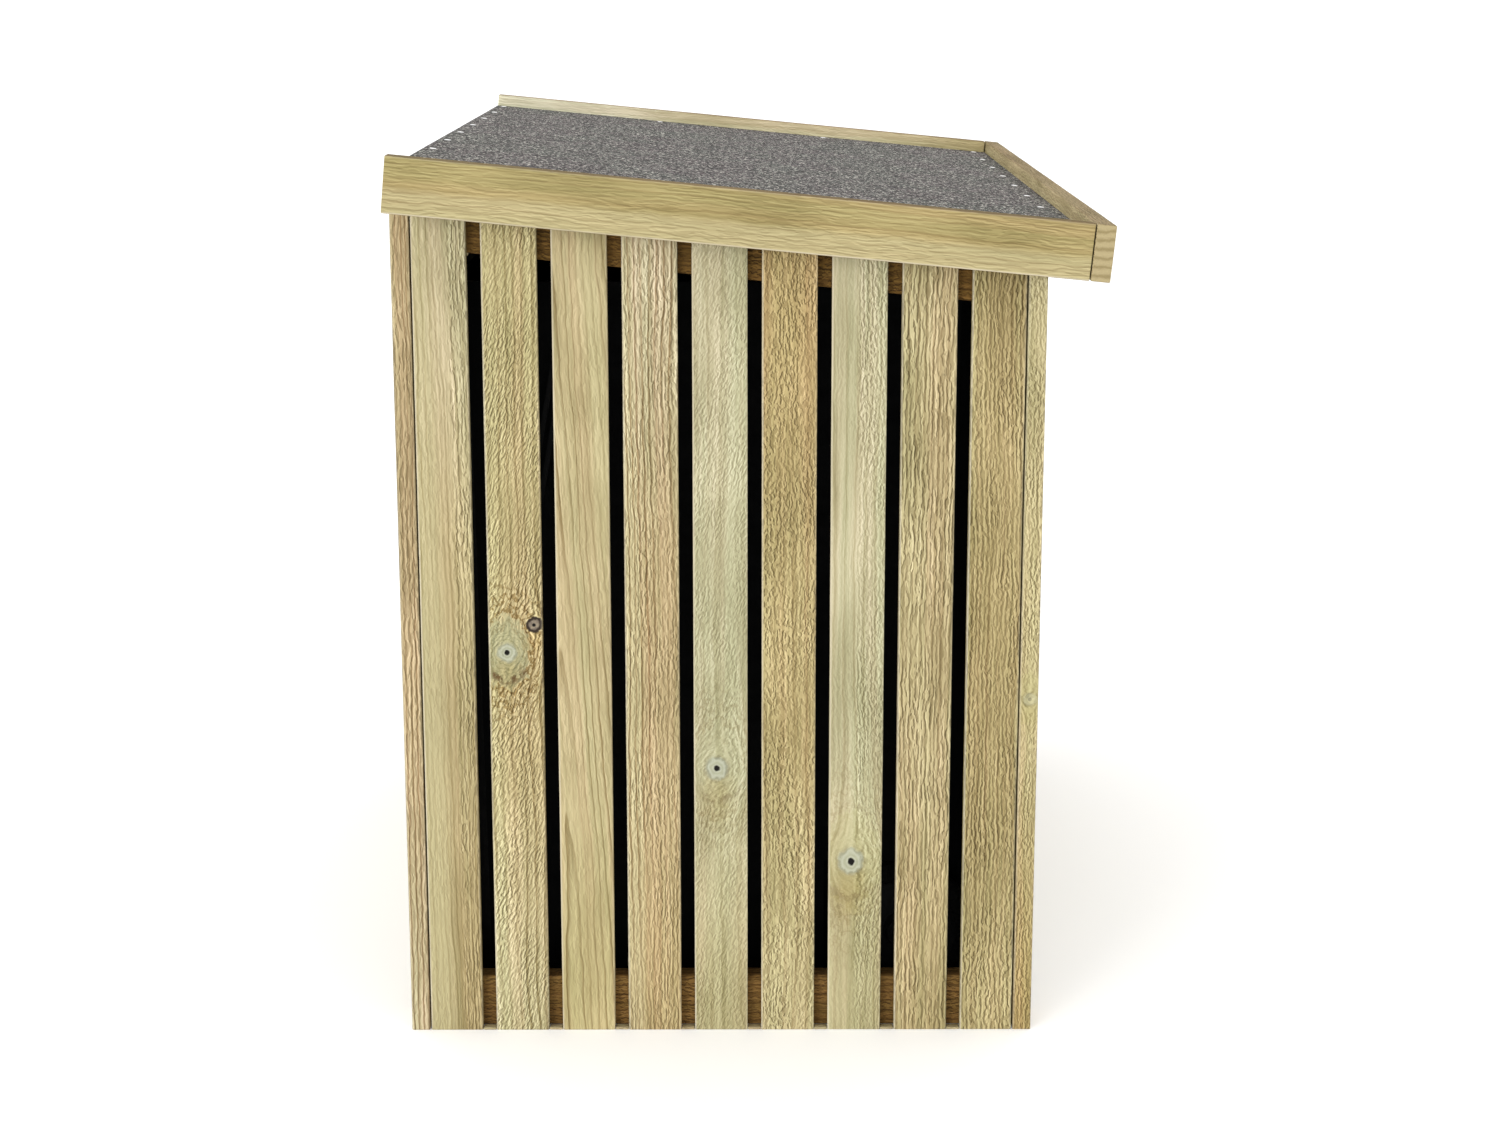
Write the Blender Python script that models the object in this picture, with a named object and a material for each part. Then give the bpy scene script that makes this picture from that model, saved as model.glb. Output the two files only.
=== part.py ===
"""A slatted timber litter-bin store: two open bins on wheels behind a pair of doors, under a felted lid.

Metres, +Z up. The origin is on the ground under the middle of the whole object. The doors face -Y, the
high edge of the roof and its hinges are at +Y, and the roof falls towards the doors.
"""

import math

import bmesh
import bpy
from mathutils import Vector

# ---------------------------------------------------------------- driving dimensions

CLEARANCE = 0.0003  # between pieces that touch

ROOF_HALF_WIDTH = 0.690
ROOF_BACK_Y = 0.460
ROOF_FRONT_Y = -0.460
ROOF_EAVES_Z = 1.1238  # underside of the trim at the back edge
ROOF_FALL = 0.0965  # drop per metre towards the doors

BOARD = 0.025  # thickness of posts, rails and trim
SLAT = 0.012  # thickness of slats
BOARD_WIDTH = 0.072  # width of every board and slat
TRIM_HEIGHT = 0.073

BODY_HALF_WIDTH = 0.625
BODY_FRONT_Y = -0.384
BODY_BACK_Y = 0.460
SIDE_SLATS = 9
BACK_SLATS = 12
DOOR_SLATS = 6

WALL_TOP = 0.0224  # heights above the plane through the underside of the trim
POST_TOP = 0.0187
BATTEN_LOW = 0.0229
DECK_LOW = 0.0352
FELT_LOW = 0.0510
FELT_TOP = 0.0540

BOTTOM_RAIL_Z = 0.002
DOOR_LOW_Z = 0.015
DOOR_TOP_Z = 1.015
DOOR_GAP = 0.003

LID_AXIS_U = 0.0065  # from the back edge, along the roof
LID_AXIS_W = 0.0208
LID_HINGE_X = 0.400
LID_HINGE_WIDTH = 0.070

STAY_RADIUS = 0.240  # hinge axis to either end of a stay
STAY_LID_W = 0.013
STAY_WALL_W = -0.012
STAY_OPEN_ANGLE = math.radians(100)
STAY_X = 0.578
STAY_THICK = 0.003
STAY_WIDTH = 0.020
STAY_PIN = 0.003
STAY_HEAD = 0.006
STAY_END = 0.006  # metal left beyond the slot
BRACKET_HALF = 0.020

KNUCKLE_RADIUS = 0.004
KNUCKLE_GAP = 0.0008
PIN_RADIUS = 0.002
BORE_GAP = 0.00035
LEAF = 0.0015
LEAF_DEPTH = 0.028

LEDGE_LOW_Z = 0.110
LEDGE_TOP_Z = 0.880
LEDGE_INSET = 0.006
STRAP_HINGE_HEIGHT = 0.082
STRAP_LENGTH = 0.190
STRAP_HEIGHT = 0.030
PLATE_WIDTH = 0.036

HANDLE_Z = 0.560
HANDLE_LENGTH = 0.110
HANDLE_DEPTH = 0.034
HANDLE_RADIUS = 0.005
HANDLE_FOOT_RADIUS = 0.010

BOLT_Z = 0.720
BOLT_RADIUS = 0.0045
BOLT_STANDOFF = 0.0075
BOLT_ROD_X = (0.004, 0.072)
BOLT_PLATE_X = (0.005, 0.070)
BOLT_GUIDES_X = ((0.008, 0.016), (0.060, 0.068))
BOLT_PLATE_HALF_HEIGHT = 0.016
KEEPER_PLATE_X = (-0.030, -0.005)
KEEPER_LOOP_X = (-0.024, -0.012)
KNOB_X = 0.0525
KNOB_REACH = 0.020

BIN_CENTRE_X = 0.286
BIN_HALF_WIDTH = 0.265
BIN_FRONT_Y = -0.325
BIN_BACK_Y = 0.395
BIN_TOP_Z = 1.020
BIN_WALL = 0.004
BIN_TAPER = 0.014  # narrowing of each wall from rim to floor
BIN_CORNER = 0.045
BIN_CHAMFER = 0.006
RIM_OUT = 0.0075
RIM_HEIGHT = 0.030
HANDLE_BAR_Z = 0.972
HANDLE_BAR_Y = -0.340
HANDLE_BAR_RADIUS = 0.011
HANDLE_BAR_HALF = 0.200
LUG_HALF_WIDTH = 0.008
LUG_HALF_HEIGHT = 0.009
WHEEL_ROOM = 0.010  # round each wheel, inside its recess
WHEEL_RADIUS = 0.0995
WHEEL_WIDTH = 0.038
WHEEL_Y = -0.213
WHEEL_Z = 0.100
AXLE_RADIUS = 0.009
AXLE_END = 0.005  # axle showing outside each wheel

JOINT_OVERLAP = 0.001  # how far slats enter their rails where they are one solid
ROUND = 24  # sides of a wheel or other large round piece
SMALL_ROUND = 12  # sides of a pin or knuckle
CORNER_STEPS = 3  # faces round a bin's corner

# ---------------------------------------------------------------- values that follow from them

SLOPE = math.atan(ROOF_FALL)
ROOF_LENGTH = (ROOF_BACK_Y - ROOF_FRONT_Y - TRIM_HEIGHT * math.sin(SLOPE)) / math.cos(SLOPE)
FASCIA_U = ROOF_LENGTH - BOARD  # inner face of the front trim
DECK_HALF_WIDTH = ROOF_HALF_WIDTH - BOARD - CLEARANCE

POST_INNER_X = BODY_HALF_WIDTH - BOARD_WIDTH
FRONT_INNER_Y = BODY_FRONT_Y + BOARD
BACK_INNER_Y = BODY_BACK_Y - BOARD
SLAT_INNER_X = BODY_HALF_WIDTH - SLAT
RAIL_OUTER_X = SLAT_INNER_X - CLEARANCE
RAIL_INNER_X = RAIL_OUTER_X - BOARD
BACK_SLAT_OUTER_Y = BACK_INNER_Y + SLAT
SLAT_TOP = WALL_TOP - JOINT_OVERLAP
DOOR_EDGE_X = POST_INNER_X - DOOR_GAP
DOOR_MIDDLE_X = DOOR_GAP / 2
DOOR_AXIS_X = POST_INNER_X - DOOR_GAP / 2
DOOR_AXIS_Y = BODY_FRONT_Y - CLEARANCE - KNUCKLE_RADIUS
BRACE_HALF = BOARD_WIDTH / 2

X_AXIS = Vector((1, 0, 0))
Y_AXIS = Vector((0, 1, 0))
Z_AXIS = Vector((0, 0, 1))


def roof_z(y, above):
    """Height of the plane that lies above the underside of the trim by this much."""
    return ROOF_EAVES_Z + (y - ROOF_BACK_Y) * ROOF_FALL + above / math.cos(SLOPE)


def roof_point(x, u, w):
    """A point given along the roof from its back edge (u) and square to it (w)."""
    return Vector(
        (
            x,
            ROOF_BACK_Y - u * math.cos(SLOPE) - w * math.sin(SLOPE),
            ROOF_EAVES_Z - u * math.sin(SLOPE) + w * math.cos(SLOPE),
        )
    )


ROOF_UP = (roof_point(0, 0, 1) - roof_point(0, 0, 0)).normalized()

# ---------------------------------------------------------------- scene and materials

for old in list(bpy.data.objects):
    bpy.data.objects.remove(old, do_unlink=True)


def material(name, colour, roughness, metallic=0.0):
    made = bpy.data.materials.new(name)
    made.use_nodes = True
    shader = made.node_tree.nodes["Principled BSDF"]
    shader.inputs["Base Color"].default_value = (*colour, 1)
    shader.inputs["Roughness"].default_value = roughness
    shader.inputs["Metallic"].default_value = metallic
    made.diffuse_color = (*colour, 1)
    return made


SLAT_WOOD = material("slat_wood", (0.60, 0.44, 0.27), 0.85)
FRAME_WOOD = material("frame_wood", (0.47, 0.35, 0.20), 0.85)
TRIM_WOOD = material("trim_wood", (0.50, 0.39, 0.21), 0.85)
FELT = material("felt", (0.25, 0.25, 0.26), 0.95)
ZINC = material("zinc_steel", (0.62, 0.63, 0.65), 0.35, 1.0)
BLACK_STEEL = material("black_steel", (0.02, 0.02, 0.02), 0.5)
BIN_PLASTIC = material("bin_plastic", (0.010, 0.010, 0.012), 0.55)
TYRE = material("tyre", (0.012, 0.012, 0.012), 0.8)

# ---------------------------------------------------------------- modelling helpers


def add_object(name, mesh, look, parent=None):
    made = bpy.data.objects.new(name, mesh)
    bpy.context.scene.collection.objects.link(made)
    mesh.materials.append(look)
    if parent:
        attach(made, parent)
    return made


def attach(child, parent):
    """Parent without moving the child."""
    bpy.context.view_layer.update()
    child.parent = parent
    child.matrix_parent_inverse = parent.matrix_world.inverted()


def pivot(name, place, parent=None):
    """An empty on a joint's axis."""
    made = bpy.data.objects.new(name, None)
    made.empty_display_size = 0.05
    made.location = place
    bpy.context.scene.collection.objects.link(made)
    if parent:
        attach(made, parent)
    return made


def prism(name, outline, along, look, parent=None):
    """A flat outline of 3-D points, pushed along a vector into a closed solid."""
    shape = bmesh.new()
    face = shape.faces.new([shape.verts.new(point) for point in outline])
    pushed = bmesh.ops.extrude_face_region(shape, geom=[face])
    corners = [item for item in pushed["geom"] if isinstance(item, bmesh.types.BMVert)]
    bmesh.ops.translate(shape, verts=corners, vec=along)
    bmesh.ops.recalc_face_normals(shape, faces=shape.faces[:])
    mesh = bpy.data.meshes.new(name)
    shape.to_mesh(mesh)
    shape.free()
    return add_object(name, mesh, look, parent)


def box(name, low, high, look, parent=None):
    (x0, y0, z0), (x1, y1, z1) = low, high
    outline = [(x0, y0, z0), (x1, y0, z0), (x1, y1, z0), (x0, y1, z0)]
    return prism(name, outline, Z_AXIS * (z1 - z0), look, parent)


def roof_box(name, x_range, u_range, w_range, look, parent=None):
    """A box that is square to the roof."""
    (x0, x1), (u0, u1), (w0, w1) = x_range, u_range, w_range
    outline = [roof_point(x, u, w0) for x, u in ((x0, u0), (x1, u0), (x1, u1), (x0, u1))]
    return prism(name, outline, ROOF_UP * (w1 - w0), look, parent)


def upright(name, x_range, y_range, low_z, top, look):
    """A box that stands up to a cut parallel to the roof."""
    (x0, x1), (y0, y1) = x_range, y_range
    outline = [(x0, y0, low_z), (x0, y1, low_z), (x0, y1, roof_z(y1, top)), (x0, y0, roof_z(y0, top))]
    return prism(name, outline, X_AXIS * (x1 - x0), look)


def frame_along(direction):
    """Two unit vectors square to a direction and to each other."""
    side = direction.orthogonal().normalized()
    return side, direction.cross(side).normalized()


def circle(centre, direction, radius, sides):
    """Points round a centre. The first lies half a side off the start, so that flats face up and down."""
    side, other = frame_along(direction)
    turns = [math.tau * (step + 0.5) / sides for step in range(sides)]
    return [centre + side * (radius * math.cos(t)) + other * (radius * math.sin(t)) for t in turns]


def rod(name, start, end, radius, look, parent=None, sides=SMALL_ROUND):
    start, end = Vector(start), Vector(end)
    outline = circle(start, (end - start).normalized(), radius, sides)
    return smooth(prism(name, outline, end - start, look, parent))


def lathe(name, start, direction, profile, look, parent=None, sides=ROUND, closed=False):
    """Turns a profile of (distance along the axis, radius). Closed joins its last ring to its first."""
    shape = bmesh.new()
    rings = [
        [shape.verts.new(p) for p in circle(start + direction * along, direction, radius, sides)]
        for along, radius in profile
    ]
    pairs = list(zip(rings, rings[1:]))
    if closed:
        pairs.append((rings[-1], rings[0]))
    else:
        shape.faces.new(rings[0])
        shape.faces.new(rings[-1])
    for first, second in pairs:
        for step in range(sides):
            after = (step + 1) % sides
            shape.faces.new((first[step], first[after], second[after], second[step]))
    bmesh.ops.recalc_face_normals(shape, faces=shape.faces[:])
    mesh = bpy.data.meshes.new(name)
    shape.to_mesh(mesh)
    shape.free()
    return smooth(add_object(name, mesh, look, parent))


def smooth(made):
    made.data.shade_smooth()
    made.data.set_sharp_from_angle(angle=math.radians(35))
    return made


def combine(target, tools, operation="UNION"):
    """Cuts or joins the tools into the target, one after another, and removes them."""
    for tool in tools:
        step = target.modifiers.new(tool.name, "BOOLEAN")
        step.operation = operation
        step.object = tool
    bpy.context.view_layer.update()
    graph = bpy.context.evaluated_depsgraph_get()
    mesh = bpy.data.meshes.new_from_object(target.evaluated_get(graph))
    target.modifiers.clear()
    target.data = mesh
    for tool in tools:
        bpy.data.objects.remove(tool, do_unlink=True)
    return target


def spread(low, high, count, width, gap_at_ends):
    """Start positions of equal boards between two limits, with equal gaps."""
    spaces = count + 1 if gap_at_ends else count - 1
    gap = (high - low - count * width) / spaces
    first = low + gap if gap_at_ends else low
    return [first + index * (width + gap) for index in range(count)]


def mirrored(side, low, high):
    """An X range on the left (side -1) or right (side +1), lowest first."""
    return tuple(sorted((side * low, side * high)))


SIDES = {"left": -1, "right": 1}

# ---------------------------------------------------------------- posts, rails and wall slats


def build_posts():
    for end, y_range in (
        ("front", (BODY_FRONT_Y, FRONT_INNER_Y)),
        ("back", (BACK_INNER_Y, BODY_BACK_Y)),
    ):
        for label, side in SIDES.items():
            x_range = mirrored(side, POST_INNER_X, BODY_HALF_WIDTH)
            upright(f"post_{end}_{label}", x_range, y_range, 0, POST_TOP, FRAME_WOOD)


def side_slat_ranges():
    """Y ranges of a side wall's slats, from the back to the front."""
    low = FRONT_INNER_Y + CLEARANCE
    high = BACK_INNER_Y - CLEARANCE
    starts = spread(low, high, SIDE_SLATS, BOARD_WIDTH, gap_at_ends=False)
    return [(start, start + BOARD_WIDTH) for start in reversed(starts)]


def rail_y_range():
    return FRONT_INNER_Y + CLEARANCE, BACK_INNER_Y - CLEARANCE


def top_rail(name, x_range):
    low, high = rail_y_range()
    rail_low = WALL_TOP - BOARD_WIDTH
    outline = [
        (x_range[0], low, roof_z(low, rail_low)),
        (x_range[0], high, roof_z(high, rail_low)),
        (x_range[0], high, roof_z(high, WALL_TOP)),
        (x_range[0], low, roof_z(low, WALL_TOP)),
    ]
    return prism(name, outline, X_AXIS * (x_range[1] - x_range[0]), FRAME_WOOD)


def bottom_rail(name, x_range):
    low, high = rail_y_range()
    corner = (x_range[0], low, BOTTOM_RAIL_Z)
    return box(name, corner, (x_range[1], high, BOTTOM_RAIL_Z + BOARD_WIDTH), FRAME_WOOD)


def build_left_wall():
    for index, y_range in enumerate(side_slat_ranges()):
        x_range = (-BODY_HALF_WIDTH, -SLAT_INNER_X)
        upright(f"side_slat_left_{index + 1}", x_range, y_range, 0, SLAT_TOP, SLAT_WOOD)
    top_rail("side_rail_left_top", (-RAIL_OUTER_X, -RAIL_INNER_X))
    bottom_rail("side_rail_left_bottom", (-RAIL_OUTER_X, -RAIL_INNER_X))


def build_right_wall():
    """The same wall as one nailed-up panel."""
    x_range = (SLAT_INNER_X, BODY_HALF_WIDTH)
    slats = [
        upright(f"right_slat_{index}", x_range, y_range, 0, SLAT_TOP, SLAT_WOOD)
        for index, y_range in enumerate(side_slat_ranges())
    ]
    rail_x = (RAIL_INNER_X, SLAT_INNER_X + JOINT_OVERLAP)
    panel = top_rail("side_panel_right", rail_x)
    combine(panel, [*slats, bottom_rail("right_bottom_rail", rail_x)])


def build_back_wall():
    """Slats nailed to two rails, as one solid between the back posts."""
    reach = RAIL_INNER_X - 2 * CLEARANCE
    rail_y = (BACK_INNER_Y - CLEARANCE - BOARD, BACK_INNER_Y - CLEARANCE)
    top_low = roof_z(rail_y[0], POST_TOP) - BOARD_WIDTH
    panel = upright("back_panel", (-reach, reach), rail_y, top_low, POST_TOP, FRAME_WOOD)
    bottom = box(
        "back_bottom_rail",
        (-reach, rail_y[0], BOTTOM_RAIL_Z),
        (reach, rail_y[1], BOTTOM_RAIL_Z + BOARD_WIDTH),
        FRAME_WOOD,
    )
    slat_limit = POST_INNER_X - CLEARANCE
    slat_y = (rail_y[1] - JOINT_OVERLAP, BACK_SLAT_OUTER_Y)
    slats = [
        upright(
            f"back_slat_{index}",
            (start, start + BOARD_WIDTH),
            slat_y,
            0,
            POST_TOP - JOINT_OVERLAP,
            SLAT_WOOD,
        )
        for index, start in enumerate(spread(-slat_limit, slat_limit, BACK_SLATS, BOARD_WIDTH, True))
    ]
    combine(panel, [*slats, bottom])


def build_front_head_rail():
    reach = RAIL_INNER_X - 2 * CLEARANCE
    y_range = (FRONT_INNER_Y + CLEARANCE, FRONT_INNER_Y + CLEARANCE + BOARD)
    low_z = roof_z(y_range[0], WALL_TOP) - BOARD_WIDTH
    upright("front_head_rail", (-reach, reach), y_range, low_z, WALL_TOP, FRAME_WOOD)


# ---------------------------------------------------------------- lid


def build_lid(lid):
    inner_u = FASCIA_U - CLEARANCE
    for label, side in SIDES.items():
        x_range = mirrored(side, ROOF_HALF_WIDTH - BOARD, ROOF_HALF_WIDTH)
        roof_box(f"roof_trim_{label}", x_range, (0, inner_u), (0, TRIM_HEIGHT), TRIM_WOOD, lid)
    full = (-ROOF_HALF_WIDTH, ROOF_HALF_WIDTH)
    roof_box("roof_trim_front", full, (FASCIA_U, ROOF_LENGTH), (0, TRIM_HEIGHT), TRIM_WOOD, lid)
    inside = (-DECK_HALF_WIDTH, DECK_HALF_WIDTH)
    deck_w = (DECK_LOW, FELT_LOW - CLEARANCE)
    roof_box("roof_deck", inside, (0, inner_u), deck_w, SLAT_WOOD, lid)
    roof_box("roof_felt", inside, (0, inner_u), (FELT_LOW, FELT_TOP), FELT, lid)
    batten_w = (BATTEN_LOW, DECK_LOW - CLEARANCE)
    back_u = LID_AXIS_U + KNUCKLE_RADIUS + 2 * CLEARANCE
    front_u = inner_u - BOARD_WIDTH - BOARD
    back_end = back_u + BOARD_WIDTH
    roof_box("lid_batten_back", inside, (back_u, back_end), batten_w, SLAT_WOOD, lid)
    roof_box("lid_batten_front", inside, (front_u, front_u + BOARD_WIDTH), batten_w, SLAT_WOOD, lid)
    for label, side in SIDES.items():
        x_range = mirrored(side, DECK_HALF_WIDTH - BOARD_WIDTH, DECK_HALF_WIDTH)
        u_range = (back_end + CLEARANCE, front_u - CLEARANCE)
        roof_box(f"lid_batten_{label}", x_range, u_range, batten_w, SLAT_WOOD, lid)


def knuckle_spans(width):
    """The middle knuckle's half length, and where each outer one starts and ends."""
    middle = 0.2 * width
    return middle, middle + KNUCKLE_GAP, width / 2


def build_lid_hinge(label, side, lid):
    """A butt hinge folded between the back rail and the lid, its pin fixed in the lower leaf."""
    centre = side * LID_HINGE_X
    middle, outer_start, outer_end = knuckle_spans(LID_HINGE_WIDTH)
    plate_u = (LID_AXIS_U + KNUCKLE_RADIUS + CLEARANCE, LID_AXIS_U + LEAF_DEPTH)
    web_u = (LID_AXIS_U + KNUCKLE_RADIUS / 2, plate_u[0] + 2 * LEAF)
    across = (centre - LID_HINGE_WIDTH / 2, centre + LID_HINGE_WIDTH / 2)
    base_w = (POST_TOP + CLEARANCE, POST_TOP + CLEARANCE + LEAF)
    flap_w = (BATTEN_LOW - CLEARANCE - LEAF, BATTEN_LOW - CLEARANCE)

    def knuckle(start, end):
        return rod(
            "knuckle",
            roof_point(centre + start, LID_AXIS_U, LID_AXIS_W),
            roof_point(centre + end, LID_AXIS_U, LID_AXIS_W),
            KNUCKLE_RADIUS,
            ZINC,
        )

    def web(start, end, w_range):
        thin = (w_range[0] + LEAF / 6, w_range[1] - LEAF / 6)
        return roof_box("web", (centre + start, centre + end), web_u, thin, ZINC)

    base = roof_box(f"lid_hinge_base_{label}", across, plate_u, base_w, ZINC)
    pin = rod(
        "pin",
        roof_point(centre - outer_start - LEAF, LID_AXIS_U, LID_AXIS_W),
        roof_point(centre + outer_start + LEAF, LID_AXIS_U, LID_AXIS_W),
        PIN_RADIUS,
        ZINC,
    )
    inset = LEAF / 3
    pieces = [
        web(-outer_end + inset, -outer_start - inset, base_w),
        web(outer_start + inset, outer_end - inset, base_w),
        knuckle(-outer_end, -outer_start),
        knuckle(outer_start, outer_end),
        pin,
    ]
    combine(base, pieces)

    flap = roof_box(f"lid_hinge_flap_{label}", across, plate_u, flap_w, ZINC)
    barrel = rod(
        "barrel",
        roof_point(centre - middle, LID_AXIS_U, LID_AXIS_W),
        roof_point(centre + middle, LID_AXIS_U, LID_AXIS_W),
        KNUCKLE_RADIUS,
        ZINC,
    )
    bore = rod(
        "bore",
        roof_point(centre - LID_HINGE_WIDTH, LID_AXIS_U, LID_AXIS_W),
        roof_point(centre + LID_HINGE_WIDTH, LID_AXIS_U, LID_AXIS_W),
        PIN_RADIUS + BORE_GAP,
        ZINC,
    )
    combine(flap, [web(-middle + inset, middle - inset, flap_w), barrel])
    combine(flap, [bore], "DIFFERENCE")
    attach(flap, lid)


# ---------------------------------------------------------------- slotted lid stays


def stay_ends():
    """(u, w) of the stay's pivot on the lid and of the pin on the wall, equally far from the hinge."""
    lid_drop = STAY_LID_W - LID_AXIS_W
    wall_drop = STAY_WALL_W - LID_AXIS_W
    lid_u = LID_AXIS_U + math.sqrt(STAY_RADIUS**2 - lid_drop**2)
    wall_u = LID_AXIS_U + math.sqrt(STAY_RADIUS**2 - wall_drop**2)
    return (lid_u, STAY_LID_W), (wall_u, STAY_WALL_W)


def build_stay(label, side, lid):
    (lid_u, lid_w), (wall_u, wall_w) = stay_ends()
    centre = roof_point(side * STAY_X, lid_u, lid_w)
    guide = roof_point(side * STAY_X, wall_u, wall_w)
    closed = (guide - centre).length
    rest_angle = 2 * math.asin(closed / (2 * STAY_RADIUS))
    opened = 2 * STAY_RADIUS * math.sin((rest_angle + STAY_OPEN_ANGLE) / 2)
    along = (guide - centre).normalized()
    across = along.cross(X_AXIS)
    outward = X_AXIS * side
    half = STAY_WIDTH / 2
    hole = STAY_PIN + BORE_GAP

    def rounded_bar(name, start, end, half_width, thick, look):
        """A flat bar with round ends, centred on the stay's plane."""
        outline = []
        for tip, sign in ((end, 1), (start, -1)):
            for step in range(SMALL_ROUND + 1):
                turn = math.pi * step / SMALL_ROUND - math.pi / 2
                outline.append(
                    centre
                    + along * (tip + sign * half_width * math.cos(turn))
                    + across * (sign * half_width * math.sin(turn))
                    - outward * (thick / 2)
                )
        return prism(name, outline, outward * thick, look)

    axis = pivot(f"lid_stay_{label}_axis", centre, lid)
    arm = rounded_bar(f"lid_stay_{label}", 0, opened + hole + STAY_END - half, half, STAY_THICK, BLACK_STEEL)
    slot = rounded_bar("slot", closed - CLEARANCE, opened + CLEARANCE, hole, 3 * STAY_THICK, BLACK_STEEL)
    eye = rod("eye", centre - outward * half, centre + outward * half, hole, BLACK_STEEL, sides=ROUND)
    combine(arm, [slot, eye], "DIFFERENCE")
    attach(arm, axis)

    face = STAY_THICK / 2 + 2 * CLEARANCE
    rail_face = RAIL_INNER_X - STAY_X
    pin = rod(
        f"stay_guide_pin_{label}",
        guide + outward * (rail_face - CLEARANCE),
        guide + outward * face,
        STAY_HEAD,
        ZINC,
    )
    shank = rod("shank", guide + outward * (2 * face), guide - outward * (2 * face), STAY_PIN, ZINC)
    head = rod("head", guide - outward * face, guide - outward * (face + STAY_PIN), STAY_HEAD, ZINC)
    combine(pin, [shank, head])

    flange_x = mirrored(side, STAY_X + face, STAY_X + face + 2 * LEAF)
    foot_x = mirrored(side, STAY_X - half, STAY_X + face + LEAF)
    u_range = (lid_u - BRACKET_HALF, lid_u + BRACKET_HALF)
    deck = DECK_LOW - CLEARANCE
    bracket = roof_box(f"stay_bracket_{label}", flange_x, u_range, (lid_w - half, deck), BLACK_STEEL)
    foot_u = (u_range[0] + LEAF, u_range[1] - LEAF)
    foot = roof_box("foot", foot_x, foot_u, (deck - 2 * LEAF, deck - CLEARANCE), BLACK_STEEL)
    rivet = rod("rivet", centre + outward * (face + LEAF), centre - outward * face, STAY_PIN, BLACK_STEEL)
    rivet_head = rod(
        "rivet_head",
        centre - outward * (face - CLEARANCE),
        centre - outward * (face + STAY_PIN),
        STAY_HEAD,
        BLACK_STEEL,
    )
    combine(bracket, [foot, rivet, rivet_head])
    attach(bracket, lid)


# ---------------------------------------------------------------- doors


def build_door_leaf(label, side, axis):
    x_low, x_high = mirrored(side, DOOR_MIDDLE_X, DOOR_EDGE_X)
    slat_y = (BODY_FRONT_Y, BODY_FRONT_Y + SLAT)
    ledge_y = (slat_y[1] - JOINT_OVERLAP, slat_y[1] + BOARD)
    brace_y = (ledge_y[0] + JOINT_OVERLAP / 2, ledge_y[1] - JOINT_OVERLAP)
    ledges = [
        box(
            f"ledge_{low_z}",
            (x_low + LEDGE_INSET, ledge_y[0], low_z),
            (x_high - LEDGE_INSET, ledge_y[1], low_z + BOARD_WIDTH),
            FRAME_WOOD,
        )
        for low_z in (LEDGE_LOW_Z, LEDGE_TOP_Z)
    ]
    slats = [
        box(
            f"door_slat_{index}",
            (start, slat_y[0], DOOR_LOW_Z),
            (start + BOARD_WIDTH, slat_y[1], DOOR_TOP_Z),
            SLAT_WOOD,
        )
        for index, start in enumerate(spread(x_low, x_high, DOOR_SLATS, BOARD_WIDTH, False))
    ]
    hinge_x = side * (DOOR_EDGE_X - BOARD_WIDTH)
    free_x = side * (DOOR_MIDDLE_X + BOARD_WIDTH)
    foot = Vector((hinge_x, brace_y[0], LEDGE_LOW_Z + BRACE_HALF))
    head = Vector((free_x, brace_y[0], LEDGE_TOP_Z + BRACE_HALF))
    width = (head - foot).normalized().cross(Y_AXIS) * BRACE_HALF
    outline = [foot - width, foot + width, head + width, head - width]
    brace = prism("brace", outline, Y_AXIS * (brace_y[1] - brace_y[0]), FRAME_WOOD)
    # The brace stops inside the ledges, so its square ends are cut level with their middles.
    for low_z, high_z in ((0, foot.z), (head.z, DOOR_TOP_Z)):
        low = (x_low, brace_y[0] - BOARD, low_z)
        waste = box("waste", low, (x_high, brace_y[1] + BOARD, high_z), FRAME_WOOD)
        combine(brace, [waste], "DIFFERENCE")
    leaf = slats[0]
    leaf.name = f"door_{label}"
    combine(leaf, [*ledges, *slats[1:], brace])
    attach(leaf, axis)


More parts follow.
